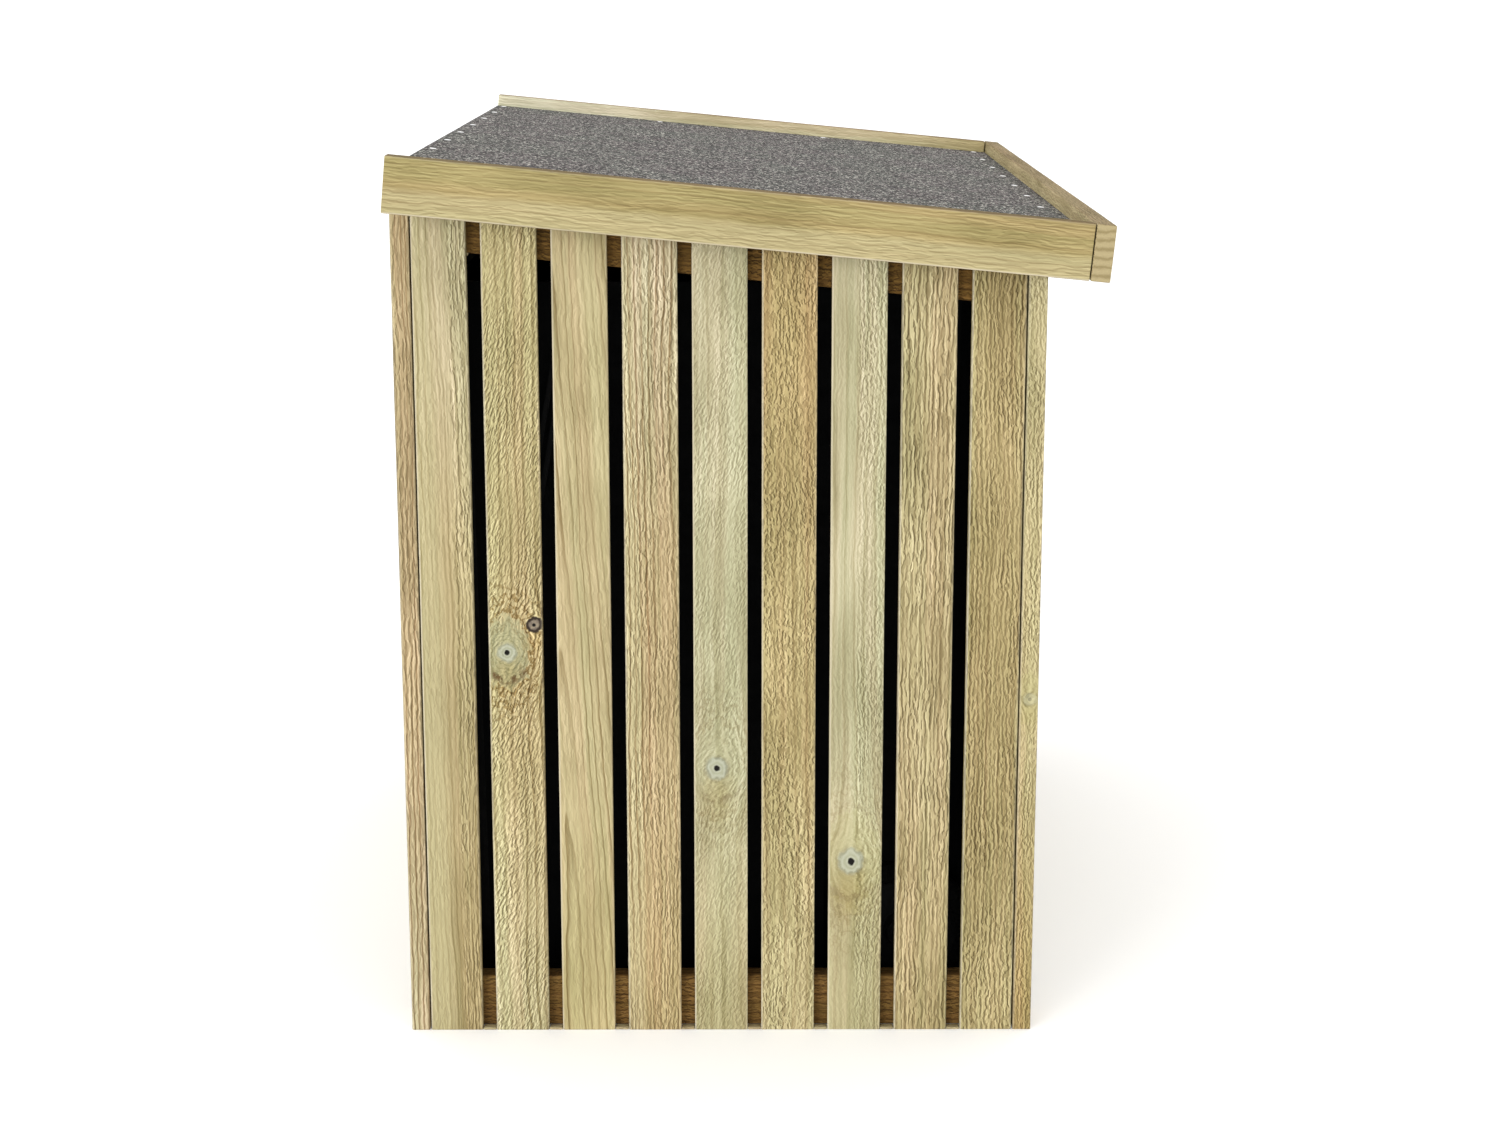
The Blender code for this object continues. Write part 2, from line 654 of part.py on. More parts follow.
def build_door_hinge(label, height, side, centre_z, axis):
    """A strap hinge on the front: a plate with the pin on the post, and a strap on the door."""
    middle, outer_start, outer_end = knuckle_spans(STRAP_HINGE_HEIGHT)
    centre = Vector((side * DOOR_AXIS_X, DOOR_AXIS_Y, centre_z))
    face_y = (BODY_FRONT_Y - CLEARANCE - 2 * LEAF, BODY_FRONT_Y - CLEARANCE)
    reach = KNUCKLE_RADIUS + CLEARANCE
    inset = LEAF / 3

    def knuckle(start, end):
        return rod("knuckle", centre + Z_AXIS * start, centre + Z_AXIS * end, KNUCKLE_RADIUS, ZINC)

    def web(start, end, towards):
        x_range = sorted((centre.x + towards * KNUCKLE_RADIUS / 2, centre.x + towards * (reach + 2 * LEAF)))
        y_range = (face_y[0] + inset / 2, face_y[1] - inset / 2)
        low = (x_range[0], y_range[0], centre_z + start)
        return box("web", low, (x_range[1], y_range[1], centre_z + end), ZINC)

    plate_x = sorted((centre.x + side * reach, centre.x + side * (reach + PLATE_WIDTH)))
    plate = box(
        f"door_hinge_plate_{label}_{height}",
        (plate_x[0], face_y[0], centre_z - STRAP_HINGE_HEIGHT / 2),
        (plate_x[1], face_y[1], centre_z + STRAP_HINGE_HEIGHT / 2),
        ZINC,
    )
    pin_reach = Z_AXIS * (outer_start + LEAF)
    pieces = [
        web(-outer_end + inset, -outer_start - inset, side),
        web(outer_start + inset, outer_end - inset, side),
        knuckle(-outer_end, -outer_start),
        knuckle(outer_start, outer_end),
        rod("pin", centre - pin_reach, centre + pin_reach, PIN_RADIUS, ZINC),
    ]
    combine(plate, pieces)

    root = centre.x - side * reach
    tip = root - side * STRAP_LENGTH
    outline = [
        (root, face_y[0], centre_z - STRAP_HEIGHT / 2),
        (root, face_y[0], centre_z + STRAP_HEIGHT / 2),
        (tip + side * STRAP_HEIGHT / 3, face_y[0], centre_z + STRAP_HEIGHT / 3),
        (tip, face_y[0], centre_z),
        (tip + side * STRAP_HEIGHT / 3, face_y[0], centre_z - STRAP_HEIGHT / 3),
    ]
    strap = prism(f"door_hinge_strap_{label}_{height}", outline, Y_AXIS * (2 * LEAF), ZINC)
    reach_z = Z_AXIS * STRAP_HINGE_HEIGHT
    bore = rod("bore", centre - reach_z, centre + reach_z, PIN_RADIUS + BORE_GAP, ZINC)
    combine(strap, [web(-middle + inset, middle - inset, -side), knuckle(-middle, middle)])
    combine(strap, [bore], "DIFFERENCE")
    attach(strap, axis)


def rounded_path(corners, radius, steps):
    """Points along a path whose inner corners are turned into arcs."""
    points = [corners[0]]
    for before, corner, after in zip(corners, corners[1:], corners[2:]):
        arm_in = (before - corner).normalized()
        arm_out = (after - corner).normalized()
        for step in range(steps + 1):
            turn = math.pi / 2 * step / steps
            towards_start = arm_in * (radius * (1 - math.sin(turn)))
            towards_end = arm_out * (radius * (1 - math.cos(turn)))
            points.append(corner + towards_start + towards_end)
    points.append(corners[-1])
    return points


def build_door_handle(label, side, axis):
    """A bow handle on the door's inner slat: a bent round bar between two disc feet."""
    x = side * (DOOR_MIDDLE_X + BOARD_WIDTH / 2)
    wall = BODY_FRONT_Y - CLEARANCE
    low = Vector((x, wall - LEAF, HANDLE_Z - HANDLE_LENGTH / 2))
    high = low + Z_AXIS * HANDLE_LENGTH
    out = -Y_AXIS * (HANDLE_DEPTH - LEAF)
    path = rounded_path([low, low + out, high + out, high], 3 * HANDLE_RADIUS, 5)
    curve = bpy.data.curves.new("bow", "CURVE")
    curve.dimensions = "3D"
    curve.bevel_depth = HANDLE_RADIUS
    curve.bevel_resolution = 2
    curve.use_fill_caps = True
    spline = curve.splines.new("POLY")
    spline.points.add(len(path) - 1)
    for point, place in zip(spline.points, path):
        point.co = (*place, 1)
    bent = bpy.data.objects.new("bow", curve)
    bpy.context.scene.collection.objects.link(bent)
    bpy.context.view_layer.update()
    mesh = bpy.data.meshes.new_from_object(bent.evaluated_get(bpy.context.evaluated_depsgraph_get()))
    bpy.data.objects.remove(bent, do_unlink=True)
    shape = bmesh.new()
    shape.from_mesh(mesh)
    bmesh.ops.remove_doubles(shape, verts=shape.verts[:], dist=CLEARANCE / 10)
    bmesh.ops.recalc_face_normals(shape, faces=shape.faces[:])
    shape.to_mesh(mesh)
    shape.free()
    handle = add_object(f"door_handle_{label}", mesh, ZINC)
    feet = []
    for end in (low, high):
        face = Vector((end.x, wall, end.z))
        feet.append(rod("foot", face, face - Y_AXIS * (2 * LEAF), HANDLE_FOOT_RADIUS, ZINC, sides=ROUND))
    smooth(combine(handle, feet))
    attach(handle, axis)


def build_bolt(axis_left, axis_right):
    """A barrel bolt drawn back on the right door, and its keeper on the left one."""
    wall = BODY_FRONT_Y - CLEARANCE
    line_y = wall - BOLT_STANDOFF
    hole_radius = BOLT_RADIUS + BORE_GAP
    shell = hole_radius + LEAF

    def plate(name, start, end):
        low = (start, wall - LEAF, BOLT_Z - BOLT_PLATE_HALF_HEIGHT)
        return box(name, low, (end, wall, BOLT_Z + BOLT_PLATE_HALF_HEIGHT), ZINC)

    def guide(start, end):
        """A square staple over the rod, with its hole."""
        low = (start, line_y - shell, BOLT_Z - shell)
        block = box("guide", low, (end, wall - LEAF / 2, BOLT_Z + shell), ZINC)
        hole = rod("hole", (start - shell, line_y, BOLT_Z), (end + shell, line_y, BOLT_Z), hole_radius, ZINC)
        return combine(block, [hole], "DIFFERENCE")

    housing = plate("bolt_housing", *BOLT_PLATE_X)
    combine(housing, [guide(*span) for span in BOLT_GUIDES_X])
    attach(housing, axis_right)
    keeper = plate("bolt_keeper", *KEEPER_PLATE_X)
    combine(keeper, [guide(*KEEPER_LOOP_X)])
    attach(keeper, axis_left)

    start, end = (Vector((x, line_y, BOLT_Z)) for x in BOLT_ROD_X)
    bolt = rod("bolt_rod", start, end, BOLT_RADIUS, ZINC)
    root = Vector((KNOB_X, line_y, BOLT_Z))
    tip = root - Y_AXIS * KNOB_REACH
    neck_end = root.lerp(tip, 0.7)
    ball_start = root.lerp(tip, 0.6)
    neck = rod("neck", root, neck_end, 0.8 * BOLT_RADIUS, ZINC)
    ball = rod("ball", ball_start, tip, 1.3 * BOLT_RADIUS, ZINC)
    combine(bolt, [neck, ball])
    attach(bolt, pivot("bolt_slide", root, axis_right))


# ---------------------------------------------------------------- wheeled bins inside


def rounded_rectangle(x_range, y_range, z, radius, steps):
    (x0, x1), (y0, y1) = x_range, y_range
    corners = ((x1, y1, 0), (x0, y1, 1), (x0, y0, 2), (x1, y0, 3))
    points = []
    for x, y, quarter in corners:
        centre = (
            x - radius if x == x1 else x + radius,
            y - radius if y == y1 else y + radius,
        )
        for step in range(steps + 1):
            turn = math.pi / 2 * (quarter + step / steps)
            points.append((centre[0] + radius * math.cos(turn), centre[1] + radius * math.sin(turn), z))
    return points


def loft(name, sections, look):
    """A solid through sections with the same number of points, capped at both ends."""
    shape = bmesh.new()
    rings = [[shape.verts.new(point) for point in section] for section in sections]
    shape.faces.new(rings[0])
    shape.faces.new(rings[-1])
    count = len(rings[0])
    for first, second in zip(rings, rings[1:]):
        for step in range(count):
            after = (step + 1) % count
            shape.faces.new((first[step], first[after], second[after], second[step]))
    bmesh.ops.recalc_face_normals(shape, faces=shape.faces[:])
    mesh = bpy.data.meshes.new(name)
    shape.to_mesh(mesh)
    shape.free()
    return add_object(name, mesh, look)


def bin_section(centre_x, z, inset, radius):
    """The bin's outline at a height, drawn in by the inset and by its taper."""
    low = BIN_TAPER * (1 - z / BIN_TOP_Z)
    half = BIN_HALF_WIDTH - low - inset
    y_range = (BIN_FRONT_Y + low / 2 + inset, BIN_BACK_Y - low - inset)
    return rounded_rectangle((centre_x - half, centre_x + half), y_range, z, radius - inset, CORNER_STEPS)


def wheel_recess(name, centre_x, outward, grow):
    """The space cut out of the bin's lower corner for a wheel, made larger all round by grow."""
    inner = BIN_HALF_WIDTH - BIN_TAPER - WHEEL_WIDTH - WHEEL_ROOM - grow
    x_range = sorted((centre_x + outward * inner, centre_x + outward * (BIN_HALF_WIDTH + WHEEL_ROOM)))
    reach = WHEEL_RADIUS + WHEEL_ROOM + grow
    low = (x_range[0], WHEEL_Y - reach, -WHEEL_ROOM)
    return box(name, low, (x_range[1], WHEEL_Y + reach, WHEEL_Z + reach), BIN_PLASTIC)


def axle_channel(name, centre_x, grow):
    """The slot across the bin's floor that the axle lies in."""
    reach = AXLE_RADIUS + WHEEL_ROOM / 2 + grow
    low = (centre_x - BIN_HALF_WIDTH, WHEEL_Y - reach, -WHEEL_ROOM)
    return box(name, low, (centre_x + BIN_HALF_WIDTH, WHEEL_Y + reach, WHEEL_Z + reach), BIN_PLASTIC)


def build_bin(label, side):
    """An open bin with a stiff rim, room for its wheels and axle, and a handle bar towards the doors."""
    centre_x = side * BIN_CENTRE_X
    rim_low = BIN_TOP_Z - RIM_HEIGHT
    floor = BIN_WALL + BIN_CHAMFER
    body = loft(
        f"inner_bin_{label}",
        [
            bin_section(centre_x, 0, BIN_CHAMFER, BIN_CORNER),
            bin_section(centre_x, BIN_CHAMFER, 0, BIN_CORNER),
            bin_section(centre_x, rim_low, 0, BIN_CORNER),
            bin_section(centre_x, rim_low, -RIM_OUT, BIN_CORNER),
            bin_section(centre_x, BIN_TOP_Z, -RIM_OUT, BIN_CORNER),
        ],
        BIN_PLASTIC,
    )
    hollow = loft(
        "hollow",
        [
            bin_section(centre_x, floor, floor, BIN_CORNER),
            bin_section(centre_x, floor + BIN_CHAMFER, BIN_WALL, BIN_CORNER),
            bin_section(centre_x, BIN_TOP_Z + BIN_WALL, BIN_WALL, BIN_CORNER),
        ],
        BIN_PLASTIC,
    )

    def running_gear_room(grow):
        recesses = [wheel_recess("recess", centre_x, outward, grow) for outward in (-1, 1)]
        return [*recesses, axle_channel("channel", centre_x, grow)]

    combine(hollow, running_gear_room(BIN_WALL), "DIFFERENCE")
    combine(body, [hollow], "DIFFERENCE")
    combine(body, running_gear_room(0), "DIFFERENCE")

    middle = Vector((centre_x, HANDLE_BAR_Y, HANDLE_BAR_Z))
    half_bar = X_AXIS * HANDLE_BAR_HALF
    bar = rod("bar", middle - half_bar, middle + half_bar, HANDLE_BAR_RADIUS, BIN_PLASTIC)
    lug_reach = HANDLE_BAR_HALF - 1.5 * LUG_HALF_WIDTH
    lugs = [
        box(
            "lug",
            (centre_x + offset - LUG_HALF_WIDTH, HANDLE_BAR_Y, HANDLE_BAR_Z - LUG_HALF_HEIGHT),
            (centre_x + offset + LUG_HALF_WIDTH, BIN_FRONT_Y + BIN_WALL / 2, HANDLE_BAR_Z + LUG_HALF_HEIGHT),
            BIN_PLASTIC,
        )
        for offset in (-lug_reach, 0, lug_reach)
    ]
    smooth(combine(body, [*lugs, bar]))

    half_axle = X_AXIS * (BIN_HALF_WIDTH - BIN_TAPER)
    axle = Vector((centre_x, WHEEL_Y, WHEEL_Z))
    rod(f"bin_axle_{label}", axle - half_axle, axle + half_axle, AXLE_RADIUS, ZINC, sides=ROUND)


def build_wheel(name, centre_x, outward):
    """A solid-tyred wheel, turned about its axle: hub, dished web and tyre."""
    half = WHEEL_WIDTH / 2
    from_middle = BIN_HALF_WIDTH - BIN_TAPER - AXLE_END - half
    bore = AXLE_RADIUS + BORE_GAP
    half_profile = [
        (half, bore),
        (half, 0.20 * WHEEL_RADIUS),
        (0.3 * half, 0.26 * WHEEL_RADIUS),
        (0.3 * half, 0.70 * WHEEL_RADIUS),
        (0.8 * half, 0.78 * WHEEL_RADIUS),
        (0.9 * half, 0.94 * WHEEL_RADIUS),
        (0.6 * half, WHEEL_RADIUS),
    ]
    profile = half_profile + [(-along, radius) for along, radius in reversed(half_profile)]
    wheel = lathe(name, Vector(), X_AXIS, profile, TYRE, closed=True)
    wheel.location = (centre_x + outward * from_middle, WHEEL_Y, WHEEL_Z)


def build_bins():
    for label, side in SIDES.items():
        build_bin(label, side)
        for place, outward in (("outer", side), ("inner", -side)):
            build_wheel(f"bin_wheel_{label}_{place}", side * BIN_CENTRE_X, outward)


# ---------------------------------------------------------------- assembly


def main():
    build_posts()
    build_left_wall()
    build_right_wall()
    build_back_wall()
    build_front_head_rail()
    lid = pivot("lid_axis", roof_point(0, LID_AXIS_U, LID_AXIS_W))
    build_lid(lid)
    doors = {}
    for label, side in SIDES.items():
        build_lid_hinge(label, side, lid)
        build_stay(label, side, lid)
        doors[label] = pivot(f"door_{label}_axis", (side * DOOR_AXIS_X, DOOR_AXIS_Y, 0))
        build_door_leaf(label, side, doors[label])
        for height, low_z in (("bottom", LEDGE_LOW_Z), ("top", LEDGE_TOP_Z)):
            build_door_hinge(label, height, side, low_z + BOARD_WIDTH / 2, doors[label])
        build_door_handle(label, side, doors[label])
    build_bolt(doors["left"], doors["right"])
    build_bins()


main()
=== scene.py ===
"""The looks of a slatted timber litter-bin store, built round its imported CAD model.

Every board of the model is rebuilt here as a rough-sawn board with worn arrises, in the place that its CAD
node has. The panels that are one solid in CAD (right wall, back wall, doors, deck) are split into boards.
Metres, +Z up, in the frame of the CAD model.
"""

import math

import bmesh
import bpy
from mathutils import Matrix, Vector, noise


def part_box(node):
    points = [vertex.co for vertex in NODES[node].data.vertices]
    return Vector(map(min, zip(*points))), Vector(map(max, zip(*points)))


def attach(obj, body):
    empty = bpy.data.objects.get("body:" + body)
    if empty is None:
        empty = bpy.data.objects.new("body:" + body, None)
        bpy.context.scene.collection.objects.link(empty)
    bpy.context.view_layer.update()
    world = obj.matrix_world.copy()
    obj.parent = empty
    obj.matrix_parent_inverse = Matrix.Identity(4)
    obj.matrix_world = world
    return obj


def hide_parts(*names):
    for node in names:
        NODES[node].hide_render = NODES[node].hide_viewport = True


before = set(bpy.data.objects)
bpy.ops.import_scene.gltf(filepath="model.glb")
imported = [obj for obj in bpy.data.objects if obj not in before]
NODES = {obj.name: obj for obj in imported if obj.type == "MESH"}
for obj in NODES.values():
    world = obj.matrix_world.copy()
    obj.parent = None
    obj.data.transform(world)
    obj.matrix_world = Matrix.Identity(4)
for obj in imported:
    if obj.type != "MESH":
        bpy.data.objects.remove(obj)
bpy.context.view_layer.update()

X = Vector((1, 0, 0))
Y = Vector((0, 1, 0))
Z = Vector((0, 0, 1))
SIDES = {"left": -1, "right": 1}

# ---------------------------------------------------------------- sizes that the CAD model has as well

SLAT = 0.012  # thickness of a slat
BOARD = 0.025  # thickness of a post, rail or trim
BOARD_WIDTH = 0.072
CLEARANCE = 0.0003
BACK_SLATS = 12
DOOR_SLATS = 6
DECK_BOARDS = 9
LEDGE_INSET = 0.006
LEAF = 0.003  # thickness of a hinge's strap or plate, and of the handles' feet
BOLT_PLATE = 0.0015

# ---------------------------------------------------------------- how a board is worn

ARRIS = 0.0016  # radius of its long corners
ARRIS_STEPS = 3
RING_STEP = 0.014  # length of a face along a board
FACE_STEP = 0.007  # width of a face across a board
SAW_WAVE = 0.0005  # depth of the hollows that the saw left
CHIP_DEPTH = 0.0016
CHIP_LENGTH = 0.012
CHIPS_PER_METRE = 3
TRIM_JOINT = 0.0014  # the open joint between a side trim and the front one
POST_JOINT = 0.0012  # the open joint between a post and the slat beside it
SOLE = 0.0035  # height of the strip that closes the gaps between the slats' feet
SOLE_TONE = (0.52, 0.42, 0.23)


def roof_frame():
    """Unit vectors down the roof's slope and square to it, from the felt's upper face."""
    felt = NODES["roof_felt"].data
    top = max(felt.polygons, key=lambda face: face.area * (face.normal.z > 0))
    up = top.normal.copy()
    return up.cross(X).normalized() * (-1 if up.cross(X).y > 0 else 1), up


DOWN_SLOPE, ROOF_UP = roof_frame()
FALL = DOWN_SLOPE.z / DOWN_SLOPE.y

# ---------------------------------------------------------------- node trees


def arithmetic(operation, swapped=False):
    """A method of Value that adds one Math node."""

    def method(self, other):
        values = (other, self) if swapped else (self, other)
        return self.nodes.math(operation, *values)

    return method


class Value:
    """What a shader node gives. Arithmetic on it adds Math nodes."""

    def __init__(self, nodes, socket):
        self.nodes, self.socket = nodes, socket

    __add__, __radd__ = arithmetic("ADD"), arithmetic("ADD", swapped=True)
    __sub__, __rsub__ = arithmetic("SUBTRACT"), arithmetic("SUBTRACT", swapped=True)
    __mul__, __rmul__ = arithmetic("MULTIPLY"), arithmetic("MULTIPLY", swapped=True)
    __truediv__ = arithmetic("DIVIDE")
    __pow__ = arithmetic("POWER")


class Nodes:
    """Short names for the shader nodes of one material."""

    def __init__(self, name):
        self.material = bpy.data.materials.new(name)
        self.material.use_nodes = True
        self.tree = self.material.node_tree
        self.shader = self.tree.nodes["Principled BSDF"]

    def add(self, kind, **settings):
        made = self.tree.nodes.new(kind)
        for key, value in settings.items():
            setattr(made, key, value)
        return made

    def feed(self, socket, value):
        """A colour of three numbers gets its fourth here."""
        if isinstance(value, Value):
            self.tree.links.new(value.socket, socket)
        elif value is not None:
            socket.default_value = (*value, 1) if socket.type == "RGBA" and len(value) == 3 else value

    def feed_named(self, made, values):
        """Feed a node's inputs by their names."""
        for label, value in values.items():
            self.feed(made.inputs[label], value)

    def made_by(self, made, values, output=0):
        """Feed a node's inputs in order, and give one of its outputs."""
        for socket, value in zip(made.inputs, values):
            self.feed(socket, value)
        return Value(self, made.outputs[output])

    def math(self, operation, *values):
        return self.made_by(self.add("ShaderNodeMath", operation=operation), values)

    def vector(self, operation, *values):
        return self.made_by(self.add("ShaderNodeVectorMath", operation=operation), values, "Vector")

    def length(self, vector):
        return self.made_by(self.add("ShaderNodeVectorMath", operation="LENGTH"), (vector,), "Value")

    def scaled(self, vector, factor):
        made = self.add("ShaderNodeVectorMath", operation="SCALE")
        self.feed(made.inputs["Scale"], factor)
        return self.made_by(made, (vector,), "Vector")

    def join(self, x, y, z):
        return self.made_by(self.add("ShaderNodeCombineXYZ"), (x, y, z))

    def split(self, vector):
        made = self.add("ShaderNodeSeparateXYZ")
        self.feed(made.inputs[0], vector)
        return [Value(self, output) for output in made.outputs]

    def noise(self, place, scale=1.0, detail=2.0, roughness=0.5, distortion=0.0, offset=None):
        """Soft noise. A scale of three numbers stretches it, and an offset then shifts it."""
        if isinstance(scale, tuple):
            place, scale = self.vector("MULTIPLY", place, scale), 1.0
        if offset:
            place = self.vector("ADD", place, offset)
        made = self.add("ShaderNodeTexNoise")
        self.feed_named(made, {"Vector": place, "Scale": scale, "Detail": detail})
        self.feed_named(made, {"Roughness": roughness, "Distortion": distortion})
        return Value(self, made.outputs["Fac"])

    def step(self, value, low, high, to_low=0.0, to_high=1.0):
        """A smooth step from to_low to to_high as the value goes from low to high."""
        made = self.add("ShaderNodeMapRange", interpolation_type="SMOOTHSTEP")
        return self.made_by(made, (value, low, high, to_low, to_high))

    def mix(self, factor, first, second, blend="MIX"):
        made = self.add("ShaderNodeMix", data_type="RGBA", blend_type=blend, clamp_factor=True)
        for index, value in ((0, factor), (6, first), (7, second)):
            self.feed(made.inputs[index], value)
        return Value(self, made.outputs[2])

    def tint(self, colour, by, factor=1.0):
        return self.mix(factor, colour, by, "MULTIPLY")

    def own(self, name, output="Fac"):
        """A custom property of the object that wears the material."""
        made = self.add("ShaderNodeAttribute", attribute_type="OBJECT", attribute_name=name)
        return Value(self, made.outputs[output])

    def board_place(self):
        """Where a point lies on its board, as board_mesh stores it: across, out of the face, and along."""
        made = self.add("ShaderNodeAttribute", attribute_type="GEOMETRY", attribute_name="board")
        return Value(self, made.outputs["Vector"])

    def object_place(self):
        return Value(self, self.add("ShaderNodeTexCoord").outputs["Object"])

    def bump(self, height, distance):
        made = self.add("ShaderNodeBump")
        self.feed_named(made, {"Height": height, "Distance": distance})
        return Value(self, made.outputs[0])

    def finish(self, colour, roughness, normal=None, metallic=0.0, specular=0.5):
        self.feed_named(self.shader, {"Base Color": colour, "Roughness": roughness, "Normal": normal})
        self.feed_named(self.shader, {"Metallic": metallic, "Specular IOR Level": specular})
        return self.material


# ---------------------------------------------------------------- timber

KNOT_RINGS = 17.0  # radians to a radius
SWIRL_RINGS = 19.0  # the same, for the swirls of grain in the halo
KNOT_STRETCH = 0.97  # a knot is a little longer along the board than across it
HALO_SHAPE = (0.45, 0.265)
STAIN_SHAPE = (0.62, 0.34)
STAIN_BELOW = 2.3  # the stain lies this many radii below the knot
TEAR_SHAPE = (0.46, 0.36)
GRAIN_PULL = 0.88  # how far the grain bends round a knot's middle
GRAIN_FADE = 0.26  # how fast that ends away from it
SEED_STEPS = (0.731, 0.419, 0.277)
SEED_SPREAD = 6.0
WIGGLE = 0.0060  # short bends of the grain, in metres
RING_UNEVEN = 2.2  # how far the growth lines' spacing varies
RING_END = 0.94  # where a growth line is darkest, in ring spacings
FACE_EDGE = (0.0011, 0.0004)  # the wide face turns into the narrow one this far from the board's edge
DASHES = 340.0  # torn fibres to a metre, across the board
DASH_SHIFT = 0.0007  # offset between the two samples that light one side of a torn fibre
DASH_SPREAD = 50.0
FIBRE_EDGE_LIGHT = 0.52
FIBRE_HOLLOW_SHADE = 1.05
DARKEST, PALEST = 0.28, 1.50  # limits of a torn fibre's shade
STRIPES = 175.0  # long torn ridges to a metre
STRIPE_DEPTH = 0.12
STRIPE_BEND = 1.8
RUB_HIGHLIGHT_WIDTH = (0.0034, 0.0010)  # the limits of the rubbed strip with its painted highlight, off the board's edge
RUB_HIGHLIGHT_DEPTH = (-0.0034, -0.0008)
TIMBER_RELIEF = 0.0014
PITH = (0.006, 0.005, 0.004)
CHAR = (0.030, 0.020, 0.014)
TEAR = (0.120, 0.072, 0.028)
SAPWOOD = (0.440, 0.388, 0.218)
RUBBED_HIGHLIGHT = (0.560, 0.500, 0.360)
EDGE_SHADE = (0.46, 0.38, 0.33)
SWIRL_TINT = (0.55, 0.47, 0.34)
RING_TINT = (0.66, 0.67, 0.58)
STAIN_TINT = (0.82, 0.66, 0.40)
CORE_DARK = (0.285, 0.295, 0.205)
CORE_PALE = (0.425, 0.440, 0.345)
DEAD_CORE = (0.150, 0.115, 0.100)
FOOT_REACH = (0.45, 0.0)  # along a board, where the tint of its foot starts and is full
HEAD_REACH = (0.60, 1.05)


def stretched_length(n, off_across, off_along, shape, wobble=0.0):
    """Length of an offset from a knot, squashed by shape and made uneven by wobble."""
    return n.length(n.join(off_across * shape[0], off_along * shape[1], 0.0)) + wobble


def grain_round_knot(n, label, across, along, warped):
    """The grain's place, pulled in round a knot, and the knot: how far off it a point lies, straight, across
    and along, all in the knot's radii. The knot's property is (across, along, radius)."""
    k_across, k_along, k_radius = n.split(n.own(label, "Vector"))
    off_across = (across - k_across) / k_radius
    off_along = (along - k_along) / k_radius
    distance = stretched_length(n, off_across, off_along, (1.0, KNOT_STRETCH))
    fade = n.math("EXPONENT", distance ** 1.5 * -GRAIN_FADE)
    return warped + (warped - k_across) * (fade * -GRAIN_PULL), (distance, off_across, off_along)


def paint_knot(n, knot, rim_depth, tear_depth, lumps, colour, height):
    """The knot's halo, its rings, its dark rim and its pith, and the fibres torn out below it."""
    distance, off_across, off_along = knot
    shown = n.own("knot_depth")
    wobble = lumps - 0.5
    uneven = distance * (1.0 + wobble * 0.80)

    halo_distance = stretched_length(n, off_across, off_along, HALO_SHAPE, wobble)
    halo = n.step(halo_distance, 1.10, 0.78) * (1.0 - rim_depth)
    colour = n.mix(halo * n.own("halo_depth"), colour, n.own("halo", "Color"))
    swirl = n.step(n.math("SINE", halo_distance * SWIRL_RINGS), 0.1, 0.95)
    swirl = swirl * (n.step(halo_distance, 0.30, 1.15) * n.step(halo_distance, 2.6, 1.2))
    colour = n.tint(colour, SWIRL_TINT, swirl * tear_depth)
    ripple = n.math("SINE", uneven * KNOT_RINGS)
    ring = n.step(ripple, 0.35, 0.95) * (n.step(uneven, 2.6, 1.6) * tear_depth)
    colour = n.tint(colour, RING_TINT, ring * 0.75)

    stain = n.step(stretched_length(n, off_across, off_along + STAIN_BELOW, STAIN_SHAPE, wobble), 1.25, 0.15)
    colour = n.tint(colour, STAIN_TINT, stain * (shown * 0.40))

    core = n.mix(0.60 - ripple * 0.30, CORE_DARK, CORE_PALE)
    core = n.mix((rim_depth - 0.3) * 1.3, core, DEAD_CORE)
    colour = n.mix(n.step(uneven, 1.05, 0.75) * (shown * 0.80), colour, core)

    broken = n.step(lumps + rim_depth * 0.35, 0.42, 0.60)
    rim = n.step(uneven, 0.58, 0.86) * n.step(uneven, 1.24, 1.00) * broken * rim_depth
    colour = n.mix(rim, colour, CHAR)

    arc = stretched_length(n, off_across, off_along, TEAR_SHAPE, wobble * 0.6)
    tear = n.step(arc, 0.84, 0.98) * n.step(arc, 1.20, 1.04) * n.step(off_along, -1.2, -2.2) * tear_depth
    tear = tear * n.step(lumps, 0.38, 0.55)
    colour = n.mix(tear, colour, TEAR)

    pith = n.step(distance + wobble * 0.35, 0.31, 0.19) * shown
    colour = n.mix(pith, colour, PITH)
    return colour, height - pith * 1.2 - rim * 0.5 - tear * 0.8


def torn_fibres(n, leaning, along, depth, side_face, offset, bend, shift):
    """Height of the fibres that the saw has torn, sampled this far beside the point."""
    wide_face = 1.0 - side_face
    moved = leaning + wide_face * shift
    deeper = depth + side_face * shift
    dash = n.noise(n.join(moved * DASHES, deeper * DASHES, along * n.own("fibre")), offset=offset)
    turns = (moved * wide_face + deeper * side_face) * STRIPES + bend
    return dash + n.math("SINE", turns * math.tau) * (n.own("stripes") * STRIPE_DEPTH)


